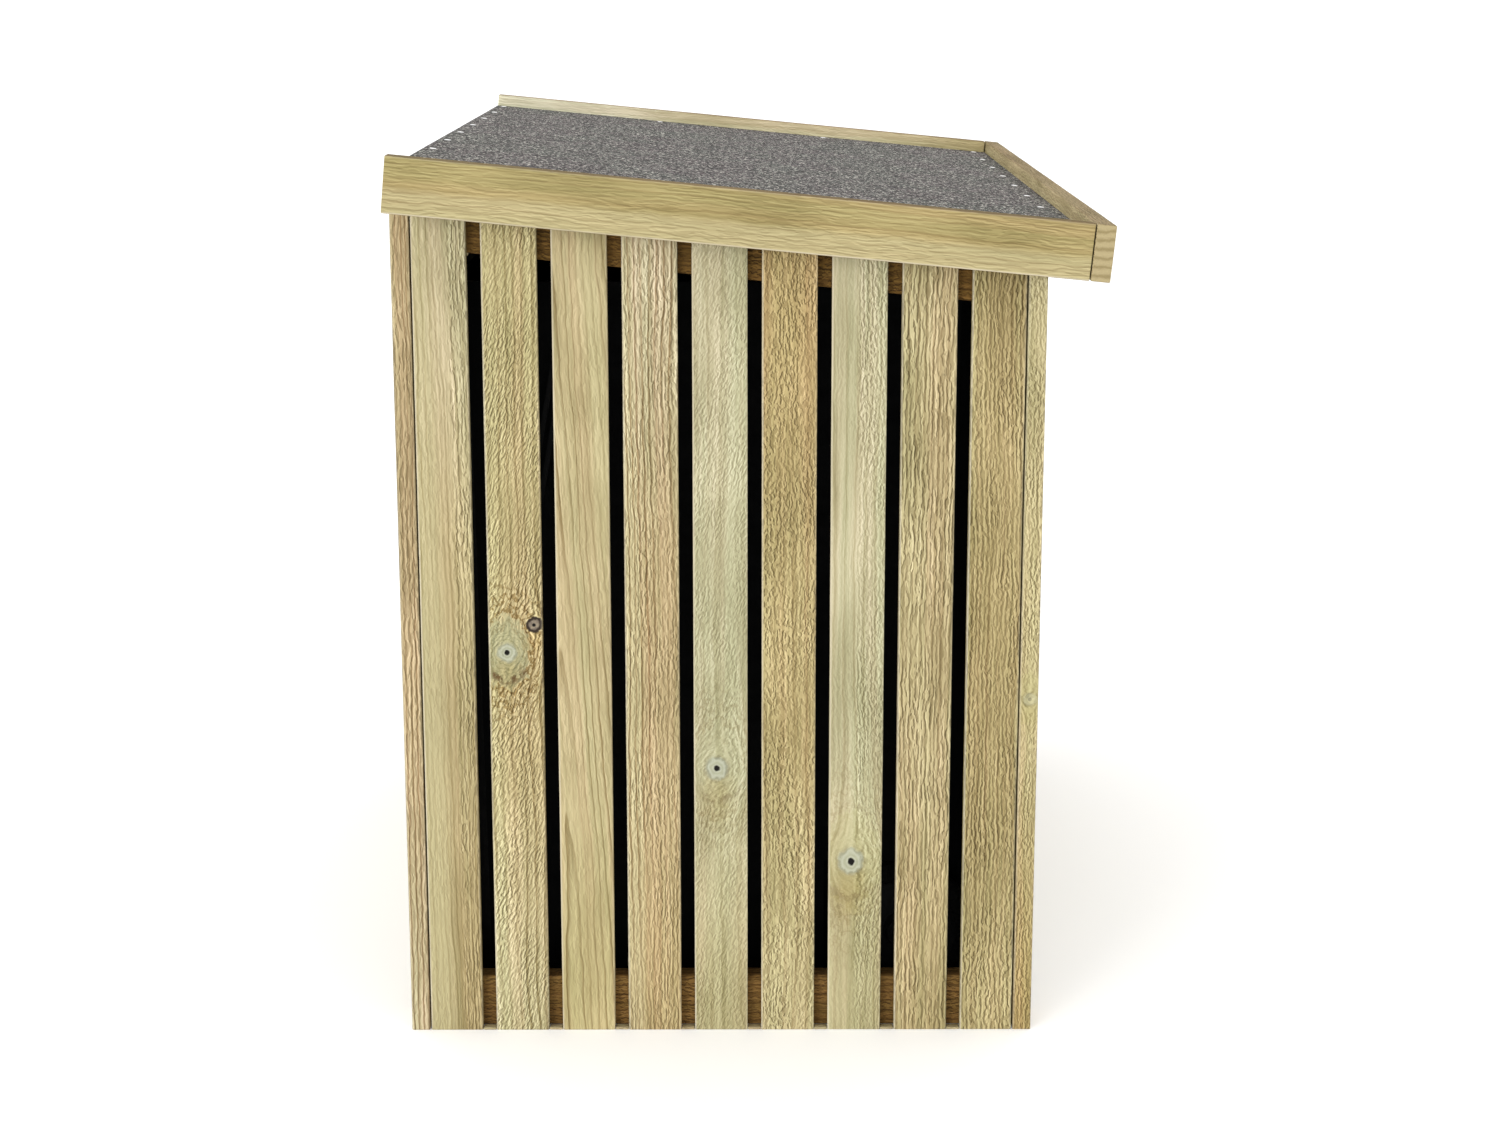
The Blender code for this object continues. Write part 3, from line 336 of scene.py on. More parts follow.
def timber():
    """Rough-sawn, pressure-treated softwood. It reads the board's own coordinates, stored on its mesh, and
    the properties that make_board gives each board."""
    n = Nodes("timber")
    place = n.board_place()
    across, depth, along = n.split(place)
    rough = n.own("rough")
    offset = n.scaled(n.join(*(n.math("FRACT", n.own("seed") * step) for step in SEED_STEPS)), SEED_SPREAD)
    inset = n.own("half") - n.math("ABSOLUTE", across)  # how far in from the board's edge
    side_face = n.step(inset, *FACE_EDGE)

    # Grain wanders slowly along the board, and flows round the knots.
    drift = n.noise(place, (5.0, 5.0, 1.7), offset=n.scaled(offset, 9.0))
    wiggle = n.noise(place, (30.0, 30.0, 22.0), offset=offset)
    warped = across + (drift - 0.5) * n.own("wander") + along * n.own("slant") + (wiggle - 0.5) * WIGGLE
    warped, knot_a = grain_round_knot(n, "knot_a", across, along, warped)
    warped, knot_b = grain_round_knot(n, "knot_b", across, along, warped)
    fibre_place = n.vector("ADD", n.join(warped, depth, along), offset)

    def fibres(across_scale, along_scale, detail, roughness):
        return n.noise(fibre_place, (across_scale, across_scale, along_scale), detail, roughness)

    # Growth lines are long ovals round the heart of the board: each darkens slowly and ends sharply.
    heart_across, heart_along, heart_ratio = n.split(n.own("heart", "Vector"))
    from_heart = n.join(warped - heart_across, (along - heart_along) / heart_ratio, depth)
    turns = n.length(from_heart) * n.own("rings") + fibres(26.0, 1.3, 2.0, 0.5) * RING_UNEVEN
    phase = n.math("FRACT", turns)
    line = n.step(phase, RING_END - n.own("line_width"), RING_END) * n.step(phase, 1.0, 0.95)
    faded = n.step(fibres(20.0, 1.5, 2.0, 0.5), 0.36, 0.60, 0.35, 1.0)
    line_depth = line * faded * n.own("lines")

    streak = fibres(260.0, 4.0, 4.0, 0.62)
    hue = n.mix(n.step(fibres(44.0, 1.2, 3.0, 0.55), 0.34, 0.66), (0.970, 1.008, 0.985), (1.030, 0.992, 1.00))
    colour = n.tint(n.own("tone", "Color"), hue)
    for label, (start, end) in (("foot_tint", FOOT_REACH), ("head_tint", HEAD_REACH)):
        colour = n.tint(colour, n.own(label, "Color"), n.step(along, start, end))
    patch = n.noise(fibre_place, (13.0, 13.0, 5.5))
    shade = 1.0 + n.step(streak, 0.25, 0.75, -1.0, 1.0) * (0.09 + rough * 0.11)
    shade = shade * n.step(patch, 0.28, 0.72, 0.84, 1.14)
    colour = n.tint(colour, n.join(shade, shade, shade ** 1.3))

    # A pale band of sapwood along one edge.
    edge_sign, edge_start, edge_soft = n.split(n.own("sapwood", "Vector"))
    pale = n.step((warped * edge_sign - edge_start) / edge_soft, -1.0, 1.0)
    colour = n.mix(pale * n.own("sapwood_depth"), colour, SAPWOOD)
    colour = n.tint(colour, n.own("line_tint", "Color"), line_depth)

    # Fibres that the saw has torn: low plateaus, with painted shade in their hollows and, on each, a painted
    # highlight on one edge and painted shade on the other.
    leaning = warped - along * n.own("lean")
    bend = fibres(60.0, 22.0, 3.0, 0.55) * STRIPE_BEND
    fibre_offset = n.scaled(offset, DASH_SPREAD)
    right, left = (
        torn_fibres(n, leaning, along, depth, side_face, fibre_offset, bend, shift)
        for shift in (DASH_SHIFT, -DASH_SHIFT)
    )
    ridge = (right + left) * 0.5 - 0.5
    right_level, left_level = (n.step(height, 0.45, 0.55) for height in (right, left))
    torn = n.step(fibres(30.0, 9.0, 3.0, 0.55), 0.36, 0.62, 0.60, 1.25)
    smooth_sign, smooth_start, _ = n.split(n.own("smooth", "Vector"))
    smooth_side = n.step(across * smooth_sign - smooth_start, -0.004, 0.004, 1.0, 0.28)
    weight = (0.22 + rough * 0.78) * (torn * smooth_side)
    # relief is the painted light and shade of the torn fibres, multiplied into the colour.
    relief = 1.0 + (ridge * FIBRE_HOLLOW_SHADE + (right_level - left_level) * FIBRE_EDGE_LIGHT) * weight
    relief = n.math("MINIMUM", n.math("MAXIMUM", relief, DARKEST), PALEST)
    colour = n.tint(colour, n.join(relief, relief ** 1.08, relief ** 1.25))
    height = (right_level + left_level) * (weight * 0.25) + streak * 0.25 + line_depth * 0.15

    lumps = n.noise(place, (120.0, 120.0, 90.0), 3.0, 0.6, offset=offset)
    rim_a, rim_b, tear = n.split(n.own("rims", "Vector"))
    colour, height = paint_knot(n, knot_a, rim_a, tear, lumps, colour, height)
    colour, height = paint_knot(n, knot_b, rim_b, 0.0, lumps, colour, height)

    # The arrises of the outer face are rubbed pale, and the one on the lit side is paler still: a painted
    # highlight.
    rubbed = n.step(inset, *RUB_HIGHLIGHT_WIDTH) * n.step(depth, *RUB_HIGHLIGHT_DEPTH)
    # The side where across is below zero gets the painted highlight; the other side keeps mostly the rubbed
    # wear.
    rubbed = rubbed * (n.step(across, 0.001, -0.001, 0.22, 0.85) * n.own("rub"))
    rubbed = rubbed * n.step(streak, 0.30, 0.60, 0.45, 1.0)
    colour = n.mix(rubbed, colour, RUBBED_HIGHLIGHT)

    # The narrow faces of the trims are painted darker and browner than their wide ones: painted shade.
    colour = n.tint(colour, EDGE_SHADE, side_face * n.own("edge_shade_depth"))
    roughness = n.step(streak, 0.2, 0.8, 0.94, 0.78)
    return n.finish(colour, roughness, n.bump(height, TIMBER_RELIEF), specular=0.22)


def end_grain():
    """The sawn end of a board: arcs of growth rings round a heart that lies off the board."""
    n = Nodes("end_grain")
    place = n.board_place()
    across, depth, _ = n.split(place)
    seed = n.own("seed")
    wobble = n.noise(place, (90.0, 90.0, 5.0), 3.0, offset=n.join(seed, seed, seed))
    pith_across, pith_depth, _ = n.split(n.own("pith", "Vector"))
    distance = n.length(n.join(across - pith_across, depth - pith_depth, 0.0))
    phase = distance * n.own("end_rings") + wobble * 4.0
    line = (0.5 + n.math("SINE", phase) * 0.5) ** 2.0
    colour = n.tint(n.own("tone", "Color"), n.mix(line, (1.02, 1.02, 1.05), (0.70, 0.68, 0.62)))
    speck = n.noise(place, 900.0)
    shade = n.step(speck, 0.3, 0.7, 0.86, 1.08)
    colour = n.tint(colour, n.join(shade, shade, shade))
    return n.finish(colour, 0.9, n.bump(speck * 0.8 + line * 0.3, 0.0006), specular=0.2)


# ---------------------------------------------------------------- felt, steel and plastic

GRANULES = 400.0  # to a metre
TREAD_BARS = 60.0
HUB_SHARE = 0.76  # of the wheel's radius


def mineral_felt():
    """Roofing felt faced with grey mineral granules, with faint purple and green patches."""
    n = Nodes("mineral_felt")
    place = n.object_place()
    cells = n.add("ShaderNodeTexVoronoi", feature="F1")
    n.feed_named(cells, {"Vector": place, "Scale": GRANULES})
    random_colour = n.add("ShaderNodeSeparateColor")
    n.feed(random_colour.inputs[0], Value(n, cells.outputs["Color"]))
    pick, hue = (Value(n, output) for output in random_colour.outputs[:2])
    clump = n.noise(place, 140.0, 2.0, 0.60)
    patch = n.noise(place, 7.0, 3.0, 0.55, 0.6)
    value = n.step(pick, 0.0, 1.0, 0.036, 0.168) * n.step(clump, 0.32, 0.68, 0.55, 1.45)
    patched = n.mix(n.step(patch, 0.40, 0.60), (1.05, 0.98, 0.97), (1.00, 1.02, 0.95))
    colour = n.tint(n.join(value, value, value), patched)
    colour = n.tint(colour, n.mix(n.step(hue, 0.2, 0.8), (1.10, 0.95, 0.97), (0.97, 1.04, 1.00)))
    bright = n.step(pick, 0.86, 0.90) * n.step(clump, 0.38, 0.56, 0.3, 1.0)
    colour = n.mix(bright, colour, (0.64, 0.62, 0.55))
    colour = n.mix(n.step(pick, 0.20, 0.14) * 0.8, colour, (0.022, 0.021, 0.021))
    height = 1.0 - Value(n, cells.outputs["Distance"]) * 1.2
    return n.finish(colour, 0.95, n.bump(height, 0.0005), specular=0.15)


def mottled(name, colours, roughness, relief, scale, detail=3.0, metallic=0.0, specular=0.5):
    """A soft mottle in the colour, the gloss and the relief."""
    n = Nodes(name)
    mottle = n.noise(n.object_place(), scale, detail, 0.6)
    gloss = n.step(mottle, 0.3, 0.7, *roughness)
    return n.finish(n.mix(mottle, *colours), gloss, n.bump(mottle, relief), metallic, specular)


def worn_black(name, scuff, worn, dull, colours, roughness, grain_scale, relief, specular):
    """Black paint or plastic with a fine grain, paler where its scuffs pass the worn limits."""
    n = Nodes(name)
    place = n.object_place()
    wear = n.noise(place, *scuff)
    colour = n.mix(n.step(wear, *worn), *colours)
    bump = n.bump(n.noise(place, grain_scale), relief)
    return n.finish(colour, n.step(wear, *dull, *roughness), bump, specular=specular)


def zinc():
    """Zinc-plated steel: pale, slightly cloudy, with fine scratches."""
    n = Nodes("zinc")
    place = n.object_place()
    cloud = n.noise(place, 55.0, 3.0, 0.6)
    scratch = n.noise(place, (900.0, 900.0, 60.0))
    colour = n.mix(cloud, (0.50, 0.51, 0.53), (0.72, 0.73, 0.75))
    roughness = n.step(cloud * 0.7 + scratch * 0.3, 0.3, 0.7, 0.26, 0.48)
    return n.finish(colour, roughness, n.bump(scratch, 0.00006), metallic=1.0)


def wheel_look(wheel_y, wheel_z, hub_radius):
    """A black plastic hub inside a rubber tyre, told apart by the distance from the wheels' common axis."""
    n = Nodes("wheel")
    place = n.object_place()
    _, place_y, place_z = n.split(place)
    off_y, off_z = place_y - wheel_y, place_z - wheel_z
    tyre = n.step(n.length(n.join(off_y, off_z, 0.0)), hub_radius, hub_radius + 0.0015)
    dust = n.noise(place, 60.0, 4.0, 0.65)
    grain = n.noise(place, 900.0)
    rubber = n.mix(n.step(dust, 0.5, 0.75), (0.0040, 0.0040, 0.0040), (0.0140, 0.0130, 0.0115))
    hub = n.mix(dust, (0.0050, 0.0050, 0.0055), (0.0110, 0.0110, 0.0115))
    tread = n.math("SINE", n.math("ARCTAN2", off_y, off_z) * TREAD_BARS)
    height = grain * 0.15 + tread * tyre * 0.5
    return n.finish(n.mix(tyre, hub, rubber), 0.50 + tyre * 0.35, n.bump(height, 0.0008), specular=0.15)


TIMBER = timber()
END_GRAIN = end_grain()
FELT = mineral_felt()
ZINC = zinc()
BITUMEN = mottled(
    "bitumen", ((0.012, 0.011, 0.011), (0.040, 0.037, 0.035)), (0.55, 0.85), 0.0004, 260.0, specular=0.4
)
NAIL = mottled(
    "galvanised_nail", ((0.88, 0.88, 0.87), (0.96, 0.96, 0.95)), (0.35, 0.55), 0.0001, 420.0, 2.0,
    metallic=0.10,
)
HUB_CAP = mottled(
    "hub_cap", ((0.0060, 0.0060, 0.0065), (0.0130, 0.0130, 0.0130)), (0.55, 0.75), 0.0002, 200.0,
    specular=0.15,
)
# Black paint, darkened further: painted shade, so that the stays sink into the dark gaps.
BLACK_STEEL_SHADED = worn_black(
    "black_steel", (160.0, 4.0, 0.65), (0.62, 0.72), (0.3, 0.7),
    ((0.0025, 0.0025, 0.0028), (0.0120, 0.0115, 0.0110)),
    (0.50, 0.65), 1100.0, 0.00008, 0.12,
)
# Bin plastic darker than black plastic is: painted shade of the store's dark inside, seen through the gaps.
BIN_PLASTIC_SHADED = worn_black(
    "bin_plastic", ((14.0, 14.0, 40.0), 5.0, 0.7), (0.58, 0.80), (0.3, 0.75),
    ((0.0012, 0.0013, 0.0017), (0.0050, 0.0050, 0.0055)), (0.55, 0.75), 1400.0, 0.00015, 0.10,
)

WHEEL_LOW, WHEEL_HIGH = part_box("bin_wheel_left_outer")
WHEEL_RADIUS = (WHEEL_HIGH.z - WHEEL_LOW.z) / 2
WHEEL_CENTRE = (WHEEL_LOW + WHEEL_HIGH) / 2
WHEEL = wheel_look(WHEEL_CENTRE.y, WHEEL_CENTRE.z, HUB_SHARE * WHEEL_RADIUS)

# ---------------------------------------------------------------- boards

ALBEDO = 0.70  # tones below are as seen in full light; this makes them the wood's own colour
LIGHT_TONES = [(0.54, 0.455, 0.245), (0.505, 0.425, 0.22), (0.56, 0.47, 0.25), (0.535, 0.42, 0.23)]
FRAME_TONES = [(0.50, 0.40, 0.21), (0.46, 0.36, 0.19), (0.52, 0.42, 0.22)]
GREEN_HALO = (0.330, 0.335, 0.195)
YELLOW_HALO = (0.350, 0.325, 0.135)
GREY_LINE = (0.64, 0.60, 0.48)
BROWN_LINE = (0.50, 0.40, 0.30)
DARK_LINE = (0.48, 0.42, 0.31)
NO_KNOT = (9.0, 9.0, 0.010)


class Place:
    """Where a board lies: a frame with its origin at the middle of its outer face's starting end.

    across runs over its width, out is its outer face's normal, and along is its length. The cuts give how far
    its two ends lean, along the board for each metre across and for each metre outwards."""

    def __init__(self, origin, across, out, along, width, thickness, length, start=(0, 0), end=(0, 0)):
        self.origin, self.across, self.out, self.along = origin, across, out, along
        self.width, self.thickness, self.length = width, thickness, length
        self.start, self.end = start, end

    def at(self, a, out, along):
        return self.origin + self.across * a + self.out * out + self.along * along

    def flipped(self):
        """The same board in the other side wall."""
        mirror = Matrix.Diagonal((-1, 1, 1))
        axes = (mirror @ axis for axis in (self.origin, self.across, self.out, self.along))
        return Place(*axes, self.width, self.thickness, self.length, self.start, self.end)


def lean(corners):
    """How an end face leans: metres along for each metre across and for each metre outwards."""
    slopes = []
    for axis, other in ((0, 1), (1, 0)):
        level = min(c[other] for c in corners)
        edge = sorted((c for c in corners if abs(c[other] - level) < CLEARANCE), key=lambda c: c[axis])
        run = edge[-1][axis] - edge[0][axis]
        slopes.append((edge[-1][2] - edge[0][2]) / run if abs(run) > CLEARANCE else 0.0)
    return slopes


def place_of(node, across, out, along):
    """The place of a board-shaped CAD node, seen along these axes."""
    corners = [(v.co.dot(across), v.co.dot(out), v.co.dot(along)) for v in NODES[node].data.vertices]
    low = [min(values) for values in zip(*corners)]
    high = [max(values) for values in zip(*corners)]
    centre = (low[0] + high[0]) / 2
    middle = (low[2] + high[2]) / 2

    def end_face(face, pick):
        """Where its plane crosses the line through the middle of the outer face, and how it leans."""
        cut = lean(face)
        corner = pick(face, key=lambda c: c[2])
        return corner[2] - cut[0] * (corner[0] - centre) - cut[1] * (corner[1] - high[1]), cut

    first, start = end_face([c for c in corners if c[2] < middle], min)
    last, end = end_face([c for c in corners if c[2] > middle], max)
    origin = across * centre + out * high[1] + along * first
    return Place(origin, across, out, along, high[0] - low[0], high[1] - low[1], last - first, start, end)


def section(width, thickness):
    """Points round a board's cross-section, as (across, out, normal across, normal out, corner or None)."""
    half = width / 2
    arris = min(ARRIS, thickness / 3)
    corners = [(-half, 0), (half, 0), (half, -thickness), (-half, -thickness)]
    normals = [(0, 1), (1, 0), (0, -1), (-1, 0)]
    points = []
    for index, corner in enumerate(corners):
        before, after = normals[index - 1], normals[index]
        centre = [c - arris * (b + a) for c, b, a in zip(corner, before, after)]
        for step in range(ARRIS_STEPS + 1):
            turn = math.pi / 2 * step / ARRIS_STEPS
            normal = [b * math.cos(turn) + a * math.sin(turn) for b, a in zip(before, after)]
            points.append((centre[0] + arris * normal[0], centre[1] + arris * normal[1], *normal, index))
        following = corners[(index + 1) % 4]
        inset = (after[1] * arris, -after[0] * arris)
        start = [c + i for c, i in zip(corner, inset)]
        stop = [c - i for c, i in zip(following, inset)]
        count = max(1, round(math.dist(start, stop) / FACE_STEP))
        for step in range(1, count):
            points.append((*(a + (b - a) * step / count for a, b in zip(start, stop)), *after, None))
    return points


def random_chips(seed, length):
    """Chips in a board's arrises, as (corner, place along the board, length, depth)."""
    chips = []
    for index in range(int(length * CHIPS_PER_METRE) + 1):
        value = noise.cell_vector(Vector((seed * 7.1 + index * 3.3, 0.5, 0.5)))
        x, y, z = (abs(v) for v in value)
        chips.append((int(x * 3.999), y * length, CHIP_LENGTH * (0.5 + z), CHIP_DEPTH * (0.4 + 0.6 * x)))
    return chips


def chip_at(chips, corner, along):
    """How deep the arris is chipped there."""
    deepest = 0.0
    for chip_corner, middle, length, depth in chips:
        if chip_corner == corner and abs(along - middle) < length:
            deepest = max(deepest, depth * (1 - ((along - middle) / length) ** 2))
    return deepest


def skin(shape, first, second, smooth=True):
    """Faces between two closed loops of vertices, or from a loop to one vertex."""
    for index, vert in enumerate(first):
        after = (index + 1) % len(first)
        far = (second[0],) if len(second) == 1 else (second[after], second[index])
        shape.faces.new((vert, first[after], *far)).smooth = smooth


def finished_mesh(shape, name, sharp):
    """A mesh made of a bmesh. Edges sharper than this many degrees stay sharp."""
    bmesh.ops.recalc_face_normals(shape, faces=shape.faces[:])
    mesh = bpy.data.meshes.new(name)
    shape.to_mesh(mesh)
    shape.free()
    mesh.set_sharp_from_angle(angle=math.radians(sharp))
    return mesh


def board_mesh(name, place, seed):
    """A board with rounded, slightly chipped arrises and shallow saw marks, all inside its CAD outline."""
    shape = bmesh.new()
    layer = shape.verts.layers.float_vector.new("board")
    outline = section(place.width, place.thickness)
    chips = random_chips(seed, place.length)
    count = max(2, round(place.length / RING_STEP))
    shares = [0.0] + [step / count for step in range(count + 1)] + [1.0]
    rings = []
    for number, share in enumerate(shares):
        capping = number in (0, len(shares) - 1)
        inset = ARRIS / 2 if capping else 0.0
        edge = ARRIS / 2 - inset
        ring = []
        for a, t, na, nt, corner in outline:
            a, t = a - na * inset, t - nt * inset
            low = place.start[0] * a + place.start[1] * t
            high = place.length + place.end[0] * a + place.end[1] * t
            along = low + edge + (high - low - 2 * edge) * share
            wave = noise.noise(Vector((a * 18 + seed * 5.3, t * 30, along * 9 + seed * 2.9)))
            ripple = noise.noise(Vector((a * 120, t * 120 + seed, along * 42)))
            sunk = SAW_WAVE * (0.45 + 0.35 * wave + 0.20 * ripple)
            if corner is not None:
                sunk += chip_at(chips, corner, along) * max(0.0, min(1.0, 1 - abs(abs(na) - abs(nt))))
            a, t = a - na * sunk, t - nt * sunk
            vert = shape.verts.new(place.at(a, t, along))
            vert[layer] = Vector((a, t, along))
            ring.append(vert)
        rings.append(ring)
    for first, second in zip(rings, rings[1:]):
        skin(shape, first, second)
    for cap in (rings[0], rings[-1]):
        shape.faces.new(cap).material_index = 1
    return finished_mesh(shape, name, 44)


def link(made):
    bpy.context.scene.collection.objects.link(made)
    return made


def add_piece(name, mesh, body, slot, *looks):
    made = link(bpy.data.objects.new(name, mesh))
    for look in looks:
        mesh.materials.append(look)
    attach(made, body)
    return made


SEEDS = iter(range(1, 1000))

# Every property that the timber material reads, and its usual value.
BOARD_LOOK = {
    "rough": 0.5,  # how torn the sawn face is, 0 to 1
    "rings": 75.0,  # growth lines to a metre
    "lines": 0.35,  # how dark they are
    "line_width": 0.42,  # how wide they are, in ring spacings
    "slant": 0.0,  # how the grain leans across the board
    "wander": 0.03,  # how far it wanders, in metres
    "fibre": 120.0,  # torn fibres to a metre, along the board
    "lean": 0.0,  # how they lean across it
    "stripes": 0.2,  # how far they join into long ridges
    "smooth": (1.0, 9.0, 0.0),  # smooth part of the face: side and start
    "rub": 1.0,  # how pale the arrises are rubbed, and how strong the painted highlight on one of them is
    "heart": (0.09, 0.5, 400.0),  # the middle of the growth ovals, and how long they are for their width
    "sapwood": (1.0, 9.0, 0.01),  # pale band: side, start and softness
    "sapwood_depth": 0.50,
    "foot_tint": (1.0, 1.0, 1.0),
    "head_tint": (1.0, 1.0, 1.0),
    "edge_shade_depth": 0.0,  # how dark the painted shade on the narrow faces is
    "halo": GREEN_HALO,
    "halo_depth": 0.35,
    "rims": (0.15, 0.15, 0.0),  # how dark the rims of knots a and b are, and the torn fibres under knot a
    "knot_depth": 1.0,
    "line_tint": GREY_LINE,
    "pith": (0.015, -0.075, 0.0),  # where the growth rings of the sawn ends are centred
    "end_rings": 1350.0,  # growth rings of the sawn ends, in radians to a metre
    "knot_a": NO_KNOT,  # (across, along, radius)
    "knot_b": NO_KNOT,
}


def make_board(name, place, body, slot, node, tone, rough=0.5, **look):
    """One board in a node's place, or in part of it."""
    seed = next(SEEDS)
    made = add_piece(name, board_mesh(name, place, seed), body, slot, TIMBER, END_GRAIN)
    tone = tuple(c * ALBEDO for c in tone)
    own = {**BOARD_LOOK, "seed": seed, "half": place.width / 2, "tone": tone, "rough": rough, **look}
    for label, value in own.items():
        made[label] = [float(c) for c in value] if isinstance(value, tuple) else float(value)
    if node:
        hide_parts(node)


def varied(index, tones):
    """A tone and a roughness for a board that the main view doesn't single out."""
    shade = 1 + 0.07 * math.sin(index * 2.4)
    hue = 0.03 * math.sin(index * 4.1)
    tone = [c * shade * (1 + hue * turn) for c, turn in zip(tones[index * 7 % len(tones)], (1, 0, -1))]
    return tone, 0.35 + 0.35 * (index * 5 % 4) / 3


# Each slat of the left wall, from the back to the front: its colour and how it was cut from the log.
LEFT_SLATS = [
    dict(tone=(0.478, 0.396, 0.200), rough=0.95, rings=120, lines=1.0, line_width=0.34, slant=0.02, fibre=75,
         stripes=0.6, sapwood=(-1, -0.002, 0.014), sapwood_depth=0.62, smooth=(-1, -0.012, 0),
         head_tint=(1.19, 1.25, 1.48), foot_tint=(1.00, 0.98, 0.94)),
    dict(tone=(0.577, 0.480, 0.244), rough=0.95, rings=80, lines=0.9, line_tint=DARK_LINE, lean=0.28,
         stripes=0.3, rims=(0.10, 1.0, 1.0), halo_depth=0.72, knot_a=(-0.0115, 0.535, 0.0140),
         knot_b=(0.0245, 0.573, 0.0095), foot_tint=(1.08, 1.14, 1.26)),
    dict(tone=(0.552, 0.462, 0.248), rough=0.08, rings=115, lines=1.0, line_width=0.34, slant=0.045, fibre=60,
         line_tint=DARK_LINE, heart=(-0.013, -0.35, 40), foot_tint=(1.08, 1.07, 1.0)),
    dict(tone=(0.561, 0.442, 0.237), rough=0.80, rings=115, lines=1.0, line_tint=BROWN_LINE, fibre=85,
         stripes=0.5, sapwood=(-1, 0.016, 0.004), head_tint=(1.16, 1.26, 1.48), foot_tint=(0.94, 0.90, 0.82)),
    dict(tone=(0.557, 0.510, 0.316), rough=0.42, rings=45, lines=0.45, lean=0.25, fibre=140,
         knot_a=(-0.0050, 0.374, 0.0165), rims=(0.25, 0.15, 0.40), foot_tint=(1.0, 0.94, 0.84)),
    dict(tone=(0.527, 0.412, 0.196), rough=1.00, rings=55, lines=0.50, line_tint=BROWN_LINE, fibre=130,
         head_tint=(0.94, 0.89, 0.83), foot_tint=(1.16, 1.24, 1.40)),
    dict(tone=(0.564, 0.516, 0.316), rough=0.64, rings=60, lines=0.60, line_width=0.30, fibre=120,
         stripes=0.4, smooth=(-1, 0.0, 0), halo=YELLOW_HALO, knot_a=(-0.0057, 0.243, 0.0190),
         rims=(0.20, 0.15, 0.35), foot_tint=(1.02, 0.98, 0.90)),
    dict(tone=(0.522, 0.430, 0.226), rough=1.00, rings=100, lines=0.45, line_tint=BROWN_LINE, fibre=70,
         stripes=0.8, foot_tint=(0.87, 0.84, 0.77)),
    dict(tone=(0.447, 0.360, 0.165), rough=1.00, rings=80, lines=0.55, line_tint=BROWN_LINE, fibre=100,
         stripes=0.7, head_tint=(0.93, 0.93, 0.92), foot_tint=(1.16, 1.19, 1.26)),
]
POSTS = {
    "post_back_left": dict(
        tone=(0.537, 0.424, 0.232), rough=0.60, rings=150, lines=1.0, line_tint=BROWN_LINE, fibre=60, rub=0.5,
        stripes=0.6, foot_tint=(1.24, 1.32, 1.48)),
    "post_front_left": dict(
        tone=(0.520, 0.434, 0.220), rough=0.85, rings=90, lines=0.4, rub=0.5, stripes=0.4,
        knot_a=(0.001, 0.470, 0.010), halo=YELLOW_HALO, knot_depth=0.35, head_tint=(1.12, 1.20, 1.28),
        foot_tint=(0.98, 0.86, 0.72)),
    "post_back_right": dict(tone=(0.50, 0.40, 0.21), rings=100),
    "post_front_right": dict(tone=(0.52, 0.43, 0.22), rings=100),
}
TRIMS = {
    "roof_trim_left": dict(
        tone=(0.430, 0.342, 0.146), rough=0.24, rings=110, lines=0.40, line_width=0.30, line_tint=BROWN_LINE,
        fibre=34, wander=0.02, stripes=0.4, sapwood=(-1, 0.006, 0.006), edge_shade_depth=0.85),
    "roof_trim_right": dict(
        tone=(0.73, 0.64, 0.39), rough=0.20, rings=110, lines=0.5, line_width=0.3, fibre=45, edge_shade_depth=0.85,
        foot_tint=(1.30, 1.40, 1.70), head_tint=(0.84, 0.80, 0.62)),
    "roof_trim_front": dict(
        tone=(0.54, 0.44, 0.23), rough=0.40, rings=60, lines=0.5, fibre=50, pith=(0.105, -0.020, 0.0),
        end_rings=560, edge_shade_depth=0.6),
}
# The side rails' tones, far darker than the slats': painted shade of their recess behind the slats.
TOP_RAIL_SHADED = (0.170, 0.088, 0.018)
BOTTOM_RAIL_SHADED = (0.215, 0.116, 0.029)


def build_side_walls():
    for index, look in enumerate(LEFT_SLATS):
        node = f"side_slat_left_{index + 1}"
        place = place_of(node, -Y, -X, Z)
        beside_post = {0: 1, len(LEFT_SLATS) - 1: -1}.get(index, 0)
        place.width -= POST_JOINT * abs(beside_post)
        place.origin += place.across * (POST_JOINT * beside_post / 2)
        make_board(f"{node}_board", place, "store", "slat_wood", node, **look)
        name = f"side_slat_right_{index + 1}_board"
        looks = varied(index, LIGHT_TONES)
        make_board(name, place.flipped(), "store", "slat_wood", "side_panel_right", *looks)
    rail_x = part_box("side_rail_left_bottom")[0].x
    for index in range(1, len(LEFT_SLATS)):
        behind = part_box(f"side_slat_left_{index}")[0]
        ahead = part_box(f"side_slat_left_{index + 1}")[1]
        depth = rail_x - behind.x - CLEARANCE
        origin = Vector((behind.x + depth / 2, behind.y - CLEARANCE, SOLE))
        place = Place(origin, X, Z, -Y, depth, SOLE, behind.y - ahead.y - 2 * CLEARANCE)
        for label, sole in (("left", place), ("right", place.flipped())):
            name = f"side_sole_{label}_{index}_board"
            make_board(name, sole, "store", "slat_wood", None, SOLE_TONE, 0.3, rub=0)
    rails = (("top", DOWN_SLOPE, ROOF_UP, TOP_RAIL_SHADED), ("bottom", -Y, Z, BOTTOM_RAIL_SHADED))
    for height, along, across, tone in rails:
        node = f"side_rail_left_{height}"
        place = place_of(node, across, -X, along)
        make_board(f"{node}_board", place, "store", "frame_wood", node, tone, 1.0, lines=1.0, rub=0)
        name = f"side_rail_right_{height}_board"
        make_board(name, place.flipped(), "store", "frame_wood", "side_panel_right", tone, 0.9, rub=0)


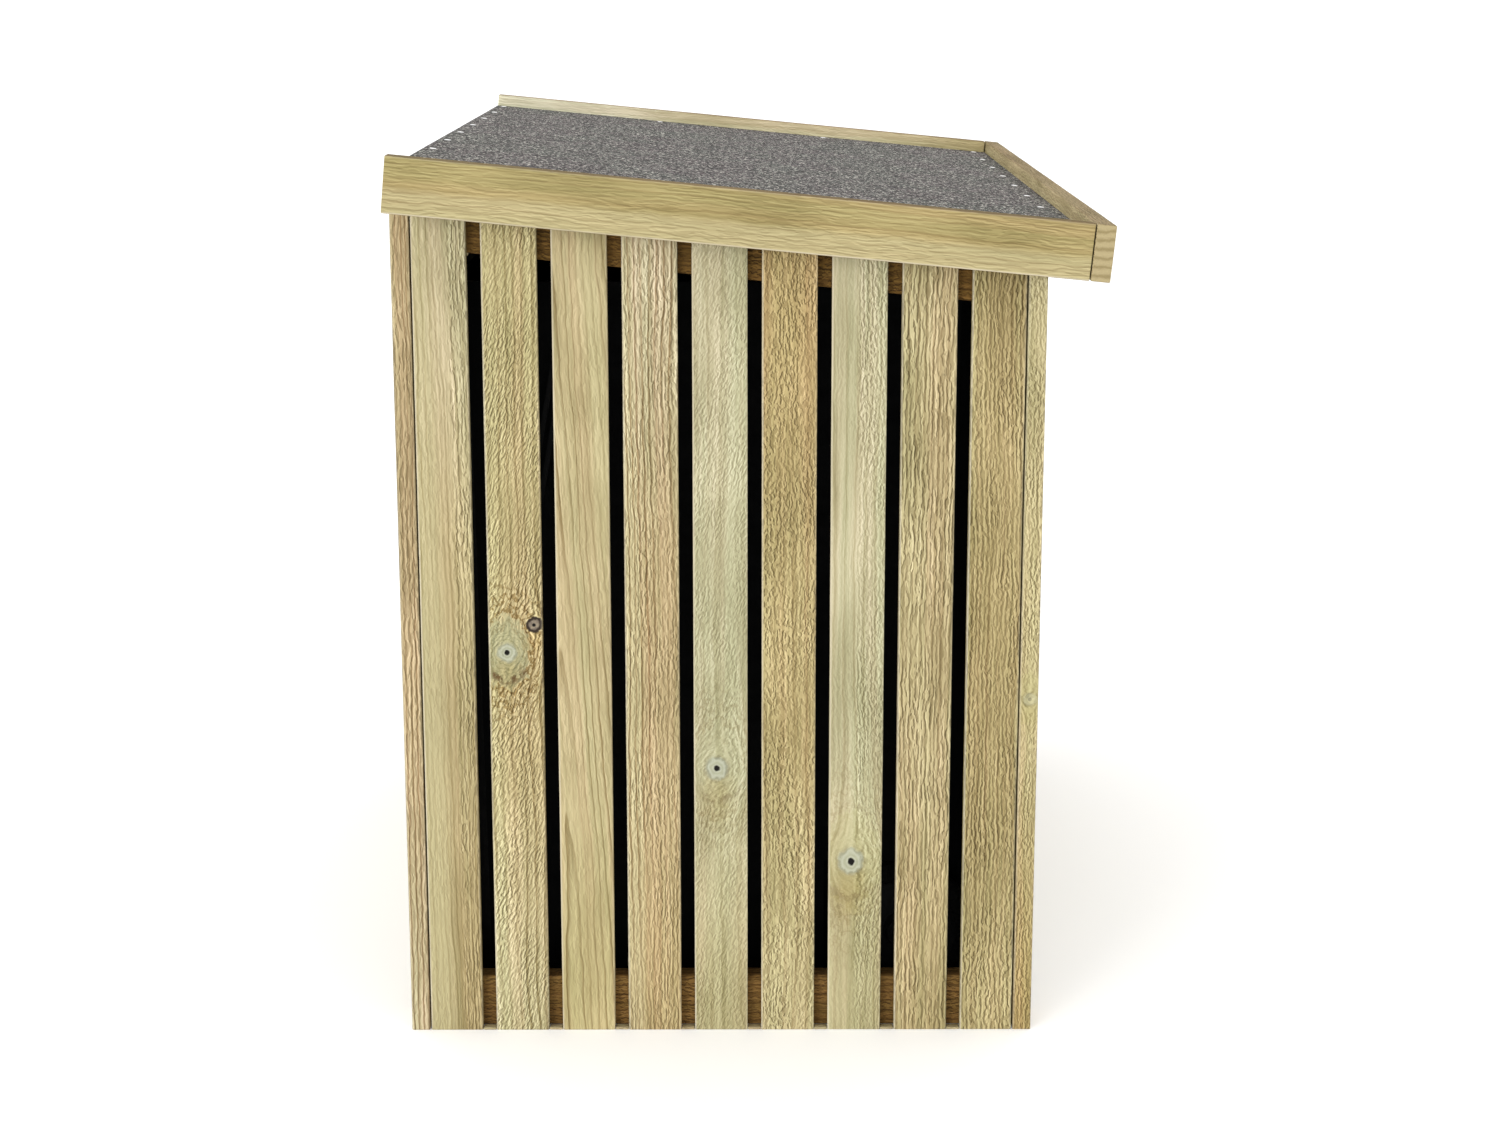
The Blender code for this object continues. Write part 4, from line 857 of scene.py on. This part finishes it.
def build_posts():
    for node, look in POSTS.items():
        place = place_of(node, -Y, -X if node.endswith("left") else X, Z)
        make_board(f"{node}_board", place, "store", "frame_wood", node, **look)


def spread(low, high, count, width, gap_at_ends):
    """Start positions of equal boards between two limits, with equal gaps."""
    spaces = count + 1 if gap_at_ends else count - 1
    gap = (high - low - count * width) / spaces
    first = low + gap if gap_at_ends else low
    return [first + index * (width + gap) for index in range(count)]


def build_back_wall():
    low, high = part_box("back_panel")
    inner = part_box("post_back_right")[0].x - CLEARANCE
    for index, start in enumerate(spread(-inner, inner, BACK_SLATS, BOARD_WIDTH, True)):
        origin = Vector((start + BOARD_WIDTH / 2, high.y, low.z))
        place = Place(origin, -X, Y, Z, BOARD_WIDTH, SLAT - CLEARANCE, high.z - low.z, end=(0, FALL))
        look = varied(index + 3, LIGHT_TONES)
        make_board(f"back_slat_{index + 1}_board", place, "store", "slat_wood", "back_panel", *look)
    top_z = high.z - FALL * SLAT - BOARD_WIDTH / 2 - FALL * BOARD / 2
    bottom_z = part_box("side_rail_left_bottom")[0].z + BOARD_WIDTH / 2
    for name, middle_z, lean_top in (("top", top_z, FALL), ("bottom", bottom_z, 0.0)):
        origin = Vector((low.x, high.y - SLAT - CLEARANCE, middle_z))
        place = Place(origin, Z, Y, X, BOARD_WIDTH - BOARD * lean_top, BOARD - CLEARANCE, high.x - low.x)
        look = varied(len(name), FRAME_TONES)
        make_board(f"back_rail_{name}_board", place, "store", "frame_wood", "back_panel", *look)


def build_head_rail():
    low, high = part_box("front_head_rail")
    top = high.z - FALL * (high.y - low.y)
    origin = Vector((low.x, low.y, (low.z + top) / 2))
    place = Place(origin, Z, -Y, X, top - low.z, high.y - low.y, high.x - low.x)
    make_board("front_head_rail_board", place, "store", "frame_wood", "front_head_rail", FRAME_TONES[1], 0.6)


def build_doors():
    brace_half = BOARD_WIDTH / 2
    for label, side in SIDES.items():
        node = f"door_{label}"
        low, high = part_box(node)
        for index, start in enumerate(spread(low.x, high.x, DOOR_SLATS, BOARD_WIDTH, False)):
            origin = Vector((start + BOARD_WIDTH / 2, low.y, low.z))
            place = Place(origin, X, -Y, Z, BOARD_WIDTH, SLAT - CLEARANCE, high.z - low.z)
            look = varied(index + 5 * (side + 1), LIGHT_TONES)
            make_board(f"{node}_slat_{index + 1}_board", place, node, "slat_wood", node, *look)
        ledges = []
        for height in ("bottom", "top"):
            strap_low, strap_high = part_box(f"door_hinge_strap_{label}_{height}")
            ledges.append((strap_low.z + strap_high.z) / 2)
            origin = Vector((low.x + LEDGE_INSET, high.y, ledges[-1]))
            place = Place(origin, Z, Y, X, BOARD_WIDTH, BOARD, high.x - low.x - 2 * LEDGE_INSET)
            look = varied(len(height), FRAME_TONES)
            make_board(f"{node}_ledge_{height}_board", place, node, "frame_wood", node, *look)
        outer, inner = (low.x, high.x) if side < 0 else (high.x, low.x)
        foot = Vector((outer - side * BOARD_WIDTH, high.y, ledges[0]))
        head = Vector((inner + side * BOARD_WIDTH, high.y, ledges[1]))
        along = (head - foot).normalized()
        across = along.cross(Y)
        cut = (-across.z / along.z, 0)
        trimmed = (brace_half + CLEARANCE) / along.z
        length = (head - foot).length - 2 * trimmed
        thickness = BOARD - 2 * CLEARANCE
        place = Place(foot + along * trimmed, across, Y, along, BOARD_WIDTH, thickness, length, cut, cut)
        make_board(f"{node}_brace_board", place, node, "frame_wood", node, FRAME_TONES[0], 0.6)


def build_lid_boards():
    for node, look in TRIMS.items():
        if node == "roof_trim_front":
            place = place_of(node, ROOF_UP, DOWN_SLOPE, X)
        else:
            place = place_of(node, ROOF_UP, -X if node.endswith("left") else X, DOWN_SLOPE)
            place.length -= TRIM_JOINT
        make_board(f"{node}_board", place, "lid", "trim_wood", node, **look)
    for index, side in enumerate(("back", "front", "left", "right")):
        node = f"lid_batten_{side}"
        across, along = (DOWN_SLOPE, X) if side in ("back", "front") else (X, DOWN_SLOPE)
        place = place_of(node, across, -ROOF_UP, along)
        make_board(f"{node}_board", place, "lid", "slat_wood", node, *varied(index, FRAME_TONES))
    deck = place_of("roof_deck", DOWN_SLOPE, -ROOF_UP, X)
    width = deck.width / DECK_BOARDS
    for index in range(DECK_BOARDS):
        middle = deck.at(width * (index + 0.5) - deck.width / 2, 0, 0)
        place = Place(middle, DOWN_SLOPE, -ROOF_UP, X, width - 2 * CLEARANCE, deck.thickness, deck.length)
        tone, _ = varied(index + 2, LIGHT_TONES)
        make_board(f"roof_deck_{index + 1}_board", place, "lid", "slat_wood", "roof_deck", tone, 0.25)


# ---------------------------------------------------------------- felt and its nails

FELT_STEPS_X = 96
FELT_STEPS_U = 64
FELT_SAG = 0.0007
NAIL_RADIUS = 0.0050
NAIL_HEIGHT = 0.0011
NAIL_ROWS = 9
BACK_NAILS_U = 0.013
FRONT_NAILS_U = 0.022
SIDE_NAILS_X = 0.021
FIRST_NAIL_X = 0.020
DOME_SIDES = 16
DOME_RINGS = 3
DOME_RIM = 0.35  # height of a head's rim, in its own heights


def felt_place():
    return place_of("roof_felt", DOWN_SLOPE, ROOF_UP, X)


def felt_dip(x, u):
    """How far the felt lies below its highest plane."""
    wave = noise.noise(Vector((x * 3.1, u * 3.7, 0.3))) + 0.5 * noise.noise(Vector((x * 9.0, u * 11.0, 4.1)))
    return FELT_SAG * (0.55 + 0.36 * wave)


def build_felt():
    place = felt_place()
    shape = bmesh.new()
    columns = [place.length * i / FELT_STEPS_X for i in range(FELT_STEPS_X + 1)]
    rows = [place.width * j / FELT_STEPS_U for j in range(FELT_STEPS_U + 1)]

    def sheet(depth):
        middle = place.width / 2
        return [[shape.verts.new(place.at(u - middle, -depth(x, u), x)) for u in rows] for x in columns]

    top = sheet(felt_dip)
    under = sheet(lambda x, u: place.thickness)
    for i in range(FELT_STEPS_X):
        for j in range(FELT_STEPS_U):
            shape.faces.new((top[i][j], top[i + 1][j], top[i + 1][j + 1], top[i][j + 1])).smooth = True
            low = shape.faces.new((under[i][j], under[i][j + 1], under[i + 1][j + 1], under[i + 1][j]))
            low.material_index = 1
    rims = [(top[k], under[k]) for k in (0, -1)]
    rims += [([column[k] for column in top], [column[k] for column in under]) for k in (0, -1)]
    for upper, lower in rims:
        for step in range(len(upper) - 1):
            side = shape.faces.new((upper[step], upper[step + 1], lower[step + 1], lower[step]))
            side.material_index = 1
    mesh = finished_mesh(shape, "roof_felt_sheet", 40)
    made = add_piece("roof_felt_sheet", mesh, "lid", "felt", FELT, BITUMEN)
    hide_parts("roof_felt")


def crosswise(normal, turn=0.0):
    """Two directions square to a normal and to each other, turned about it."""
    side = normal.orthogonal().normalized()
    other = normal.cross(side)
    return side * math.cos(turn) + other * math.sin(turn), other * math.cos(turn) - side * math.sin(turn)


def circle(shape, centre, axes, radius, sides):
    """Vertices round a point, in the plane of two axes."""
    side, other = axes
    turns = [math.tau * step / sides for step in range(sides)]
    spots = [side * (radius * math.cos(turn)) + other * (radius * math.sin(turn)) for turn in turns]
    return [shape.verts.new(centre + spot) for spot in spots]


def dome(shape, centre, normal, radius, height):
    """A closed domed head, standing on its centre."""
    axes = crosswise(normal)
    loops = [circle(shape, centre, axes, radius, DOME_SIDES)]
    for ring in range(DOME_RINGS):
        turn = math.pi / 2 * ring / DOME_RINGS
        level = height * (DOME_RIM + (1 - DOME_RIM) * math.sin(turn))
        loops.append(circle(shape, centre + normal * level, axes, radius * math.cos(turn), DOME_SIDES))
    loops.append([shape.verts.new(centre + normal * height)])
    shape.faces.new(loops[0])
    for first, second in zip(loops, loops[1:]):
        skin(shape, first, second)


def heads(name, spots, normal, radius, height, body, slot, look):
    """Nail heads, nuts or caps as one piece: their places, the way they face and their size."""
    shape = bmesh.new()
    for spot in spots:
        dome(shape, spot, normal, radius, height)
    add_piece(name, finished_mesh(shape, name, 50), body, slot, look)


def build_felt_nails():
    place = felt_place()
    pitch = (place.length - 2 * FIRST_NAIL_X) / (NAIL_ROWS - 1)
    columns = [FIRST_NAIL_X + index * pitch for index in range(NAIL_ROWS)]
    spots = [(x, u) for x in columns for u in (BACK_NAILS_U, place.width - FRONT_NAILS_U)]
    for u in (place.width / 3, place.width * 2 / 3):
        spots += [(SIDE_NAILS_X, u), (place.length - SIDE_NAILS_X, u)]
    points = [place.at(u - place.width / 2, -felt_dip(x, u) - CLEARANCE, x) for x, u in spots]
    heads("felt_nails", points, place.out, NAIL_RADIUS, NAIL_HEIGHT, "lid", "zinc_steel", NAIL)


# ---------------------------------------------------------------- screws, nuts and hub caps

SCREW_RADIUS = 0.0040
SMALL_SCREW_RADIUS = 0.0027
SCREW_HEIGHT = 0.0014
SCREW_SIDES = 24
SCREW_PROFILE = ((1.0, 0.0), (1.0, 0.45), (0.90, 0.85), (0.72, 1.0))  # in the head's radii and heights
SCREW_TURN = 1.3  # radians, from one screw to the next
RECESS_REACH = 0.55  # half length of a cross recess, in the head's radii
RECESS_WIDTH = 0.13  # half width of its arms
RECESS_DEPTH = 0.7  # in the head's heights
RECESS_TAPER = 0.8
STRAP_SCREWS = (0.022, 0.072, 0.122, 0.165)  # distances from the hinge's pin
PLATE_SCREWS = (0.011, 0.030)  # off the plate's middle, sideways and up
PLATE_MIDDLE = 0.018  # from its outer edge
PIN_INSET = 0.004
BOLT_SCREWS = {"bolt_housing": ("door_right", (0.30, 0.70)), "bolt_keeper": ("door_left", (0.48,))}
BOLT_SCREW_LEVELS = (0.14, 0.86)  # their heights, as shares of the part's
NUT_RADIUS = 0.0065
NUT_HEIGHT = 0.0035
HUB_CAP_RADIUS = 0.014
HUB_CAP_HEIGHT = 0.0065


def cross_outline(reach, half_width):
    """The corners of a cross recess, as (x, y)."""
    points = []
    for quarter in range(4):
        for a, b in ((reach, -half_width), (reach, half_width), (half_width, half_width)):
            for _ in range(quarter):
                a, b = -b, a
            points.append((a, b))
    return points


def screw(shape, centre, normal, radius, turn):
    """A low pan head with a cross recess, standing on its centre and turned about its axis."""
    axes = crosswise(normal, turn)
    height = SCREW_HEIGHT * radius / SCREW_RADIUS
    outline = cross_outline(radius * RECESS_REACH, radius * RECESS_WIDTH)

    def recess_loop(size, level):
        spots = [centre + axes[0] * (a * size) + axes[1] * (b * size) + normal * level for a, b in outline]
        return [shape.verts.new(spot) for spot in spots]

    loops = [
        circle(shape, centre + normal * (level * height), axes, size * radius, SCREW_SIDES)
        for size, level in SCREW_PROFILE
    ]
    mouth = recess_loop(1.0, height)
    bottom = recess_loop(RECESS_TAPER, height * (1 - RECESS_DEPTH))
    shape.faces.new(loops[0])
    for first, second in zip(loops, loops[1:]):
        skin(shape, first, second)
    skin(shape, mouth, bottom, smooth=False)
    shape.faces.new(bottom)
    edges = []
    for loop in (loops[-1], mouth):
        edges += [shape.edges.get(pair) for pair in zip(loop, loop[1:] + loop[:1])]
    bmesh.ops.triangle_fill(shape, edges=edges, use_beauty=True, normal=normal)


def screws(name, spots, radius, body):
    """Screws in the front, as one piece."""
    shape = bmesh.new()
    for index, spot in enumerate(spots):
        screw(shape, spot, -Y, radius, index * SCREW_TURN)
    add_piece(name, finished_mesh(shape, name, 50), body, "zinc_steel", ZINC)


def build_screws():
    across, up = PLATE_SCREWS
    for label, side in SIDES.items():
        door = f"door_{label}"
        for height in ("bottom", "top"):
            low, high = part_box(f"door_hinge_plate_{label}_{height}")
            face = high.y - LEAF
            outer, inner = (low.x, high.x) if side < 0 else (high.x, low.x)
            plate_x = outer - side * PLATE_MIDDLE
            pin_x = inner + side * PIN_INSET
            middle_z = (low.z + high.z) / 2
            spots = [Vector((plate_x + a, face, middle_z + b)) for a in (-across, across) for b in (-up, up)]
            screws(f"door_hinge_plate_{label}_{height}_screws", spots, SCREW_RADIUS, "store")
            spots = [Vector((pin_x - side * reach, face, middle_z)) for reach in STRAP_SCREWS]
            screws(f"door_hinge_strap_{label}_{height}_screws", spots, SCREW_RADIUS, door)
        low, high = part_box(f"door_handle_{label}")
        foot = (high.x - low.x) / 2
        spots = [Vector((low.x + foot, high.y + SLAT, z)) for z in (low.z + foot, high.z - foot)]
        heads(f"door_handle_{label}_nuts", spots, Y, NUT_RADIUS, NUT_HEIGHT, door, "zinc_steel", ZINC)
    for node, (body, columns) in BOLT_SCREWS.items():
        low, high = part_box(node)
        size = high - low
        spots = [
            Vector((low.x + size.x * share, high.y - BOLT_PLATE, low.z + size.z * level))
            for share in columns
            for level in BOLT_SCREW_LEVELS
        ]
        screws(f"{node}_screws", spots, SMALL_SCREW_RADIUS, body)


def build_hub_caps():
    for label, side in SIDES.items():
        for place, outward in (("outer", side), ("inner", -side)):
            low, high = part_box(f"bin_wheel_{label}_{place}")
            spot = Vector((high.x if outward > 0 else low.x, WHEEL_CENTRE.y, WHEEL_CENTRE.z))
            name = f"bin_wheel_{label}_{place}_cap"
            body = f"wheel_{label}_{place}"
            heads(name, [spot], X * outward, HUB_CAP_RADIUS, HUB_CAP_HEIGHT, body, "tyre", HUB_CAP)


# ---------------------------------------------------------------- carried-over nodes

CARRIED = {
    "lid_hinge": ZINC,
    "door_hinge": ZINC,
    "door_handle": ZINC,
    "bolt": ZINC,
    "bin_axle": ZINC,
    "stay_guide_pin": ZINC,
    "lid_stay": BLACK_STEEL_SHADED,
    "stay_bracket": BLACK_STEEL_SHADED,
    "inner_bin": BIN_PLASTIC_SHADED,
    "bin_wheel": WHEEL,
}


def paint_carried_nodes():
    for name, node in NODES.items():
        for prefix, look in CARRIED.items():
            if name.startswith(prefix):
                for slot in node.material_slots:
                    slot.material = look


# ---------------------------------------------------------------- studio

CAMERA_PLACE = (-3.5533, 0.0060, 1.4285)
CAMERA_PITCH = math.radians(10.646)  # downwards
CAMERA_TURN = math.radians(-0.137)  # off the X axis
FOCAL_LENGTH = 55.24
SHIFT = (0.0, -0.11)
SENSOR_WIDTH = 36.0
VIEW_END = 500.0
FLOOR_REACH = 60.0
FLOOR_GLOW = 0.10  # keeps the floor white beside the object
WHITE = (1.0, 1.0, 1.0)
WORLD_LIGHT = 1.20
SUN_LIGHT = 1.5
SUN_SPREAD = math.radians(24)
SUN_FROM = (-0.78, 0.58, 0.16)


def build_studio():
    camera_data = bpy.data.cameras.new("camera")
    camera_data.sensor_width = SENSOR_WIDTH
    camera_data.lens = FOCAL_LENGTH
    camera_data.shift_x, camera_data.shift_y = SHIFT
    camera_data.clip_end = VIEW_END
    camera = link(bpy.data.objects.new("camera", camera_data))
    camera.location = CAMERA_PLACE
    camera.rotation_euler = (math.pi / 2 - CAMERA_PITCH, 0, CAMERA_TURN - math.pi / 2)
    bpy.context.scene.camera = camera

    floor_mesh = bpy.data.meshes.new("floor")
    corners = [(a * FLOOR_REACH, b * FLOOR_REACH, 0) for a, b in ((-1, -1), (1, -1), (1, 1), (-1, 1))]
    floor_mesh.from_pydata(corners, [], [(0, 1, 2, 3)])
    n = Nodes("floor")
    cloud = n.noise(n.object_place(), 3.0, 3.0)
    look = n.finish(n.mix(cloud, (0.97, 0.97, 0.97), (0.98, 0.98, 0.98)), 0.85, specular=0.1)
    seen = Value(n, n.add("ShaderNodeLightPath").outputs["Is Camera Ray"])
    n.feed_named(n.shader, {"Emission Color": WHITE, "Emission Strength": seen * FLOOR_GLOW})
    floor_mesh.materials.append(look)
    floor = link(bpy.data.objects.new("floor", floor_mesh))

    world = bpy.data.worlds.new("studio")
    world.use_nodes = True
    background = world.node_tree.nodes["Background"]
    background.inputs["Color"].default_value = (*WHITE, 1)
    background.inputs["Strength"].default_value = WORLD_LIGHT
    bpy.context.scene.world = world

    sun_data = bpy.data.lights.new("key", "SUN")
    sun_data.energy = SUN_LIGHT
    sun_data.angle = SUN_SPREAD
    sun = link(bpy.data.objects.new("key", sun_data))
    sun.rotation_euler = Vector(SUN_FROM).to_track_quat("Z", "Y").to_euler()
    view = bpy.context.scene.view_settings
    view.view_transform = "Standard"
    view.look = "None"


build_side_walls()
build_posts()
build_back_wall()
build_head_rail()
build_doors()
build_lid_boards()
build_felt()
build_felt_nails()
build_screws()
build_hub_caps()
paint_carried_nodes()
build_studio()
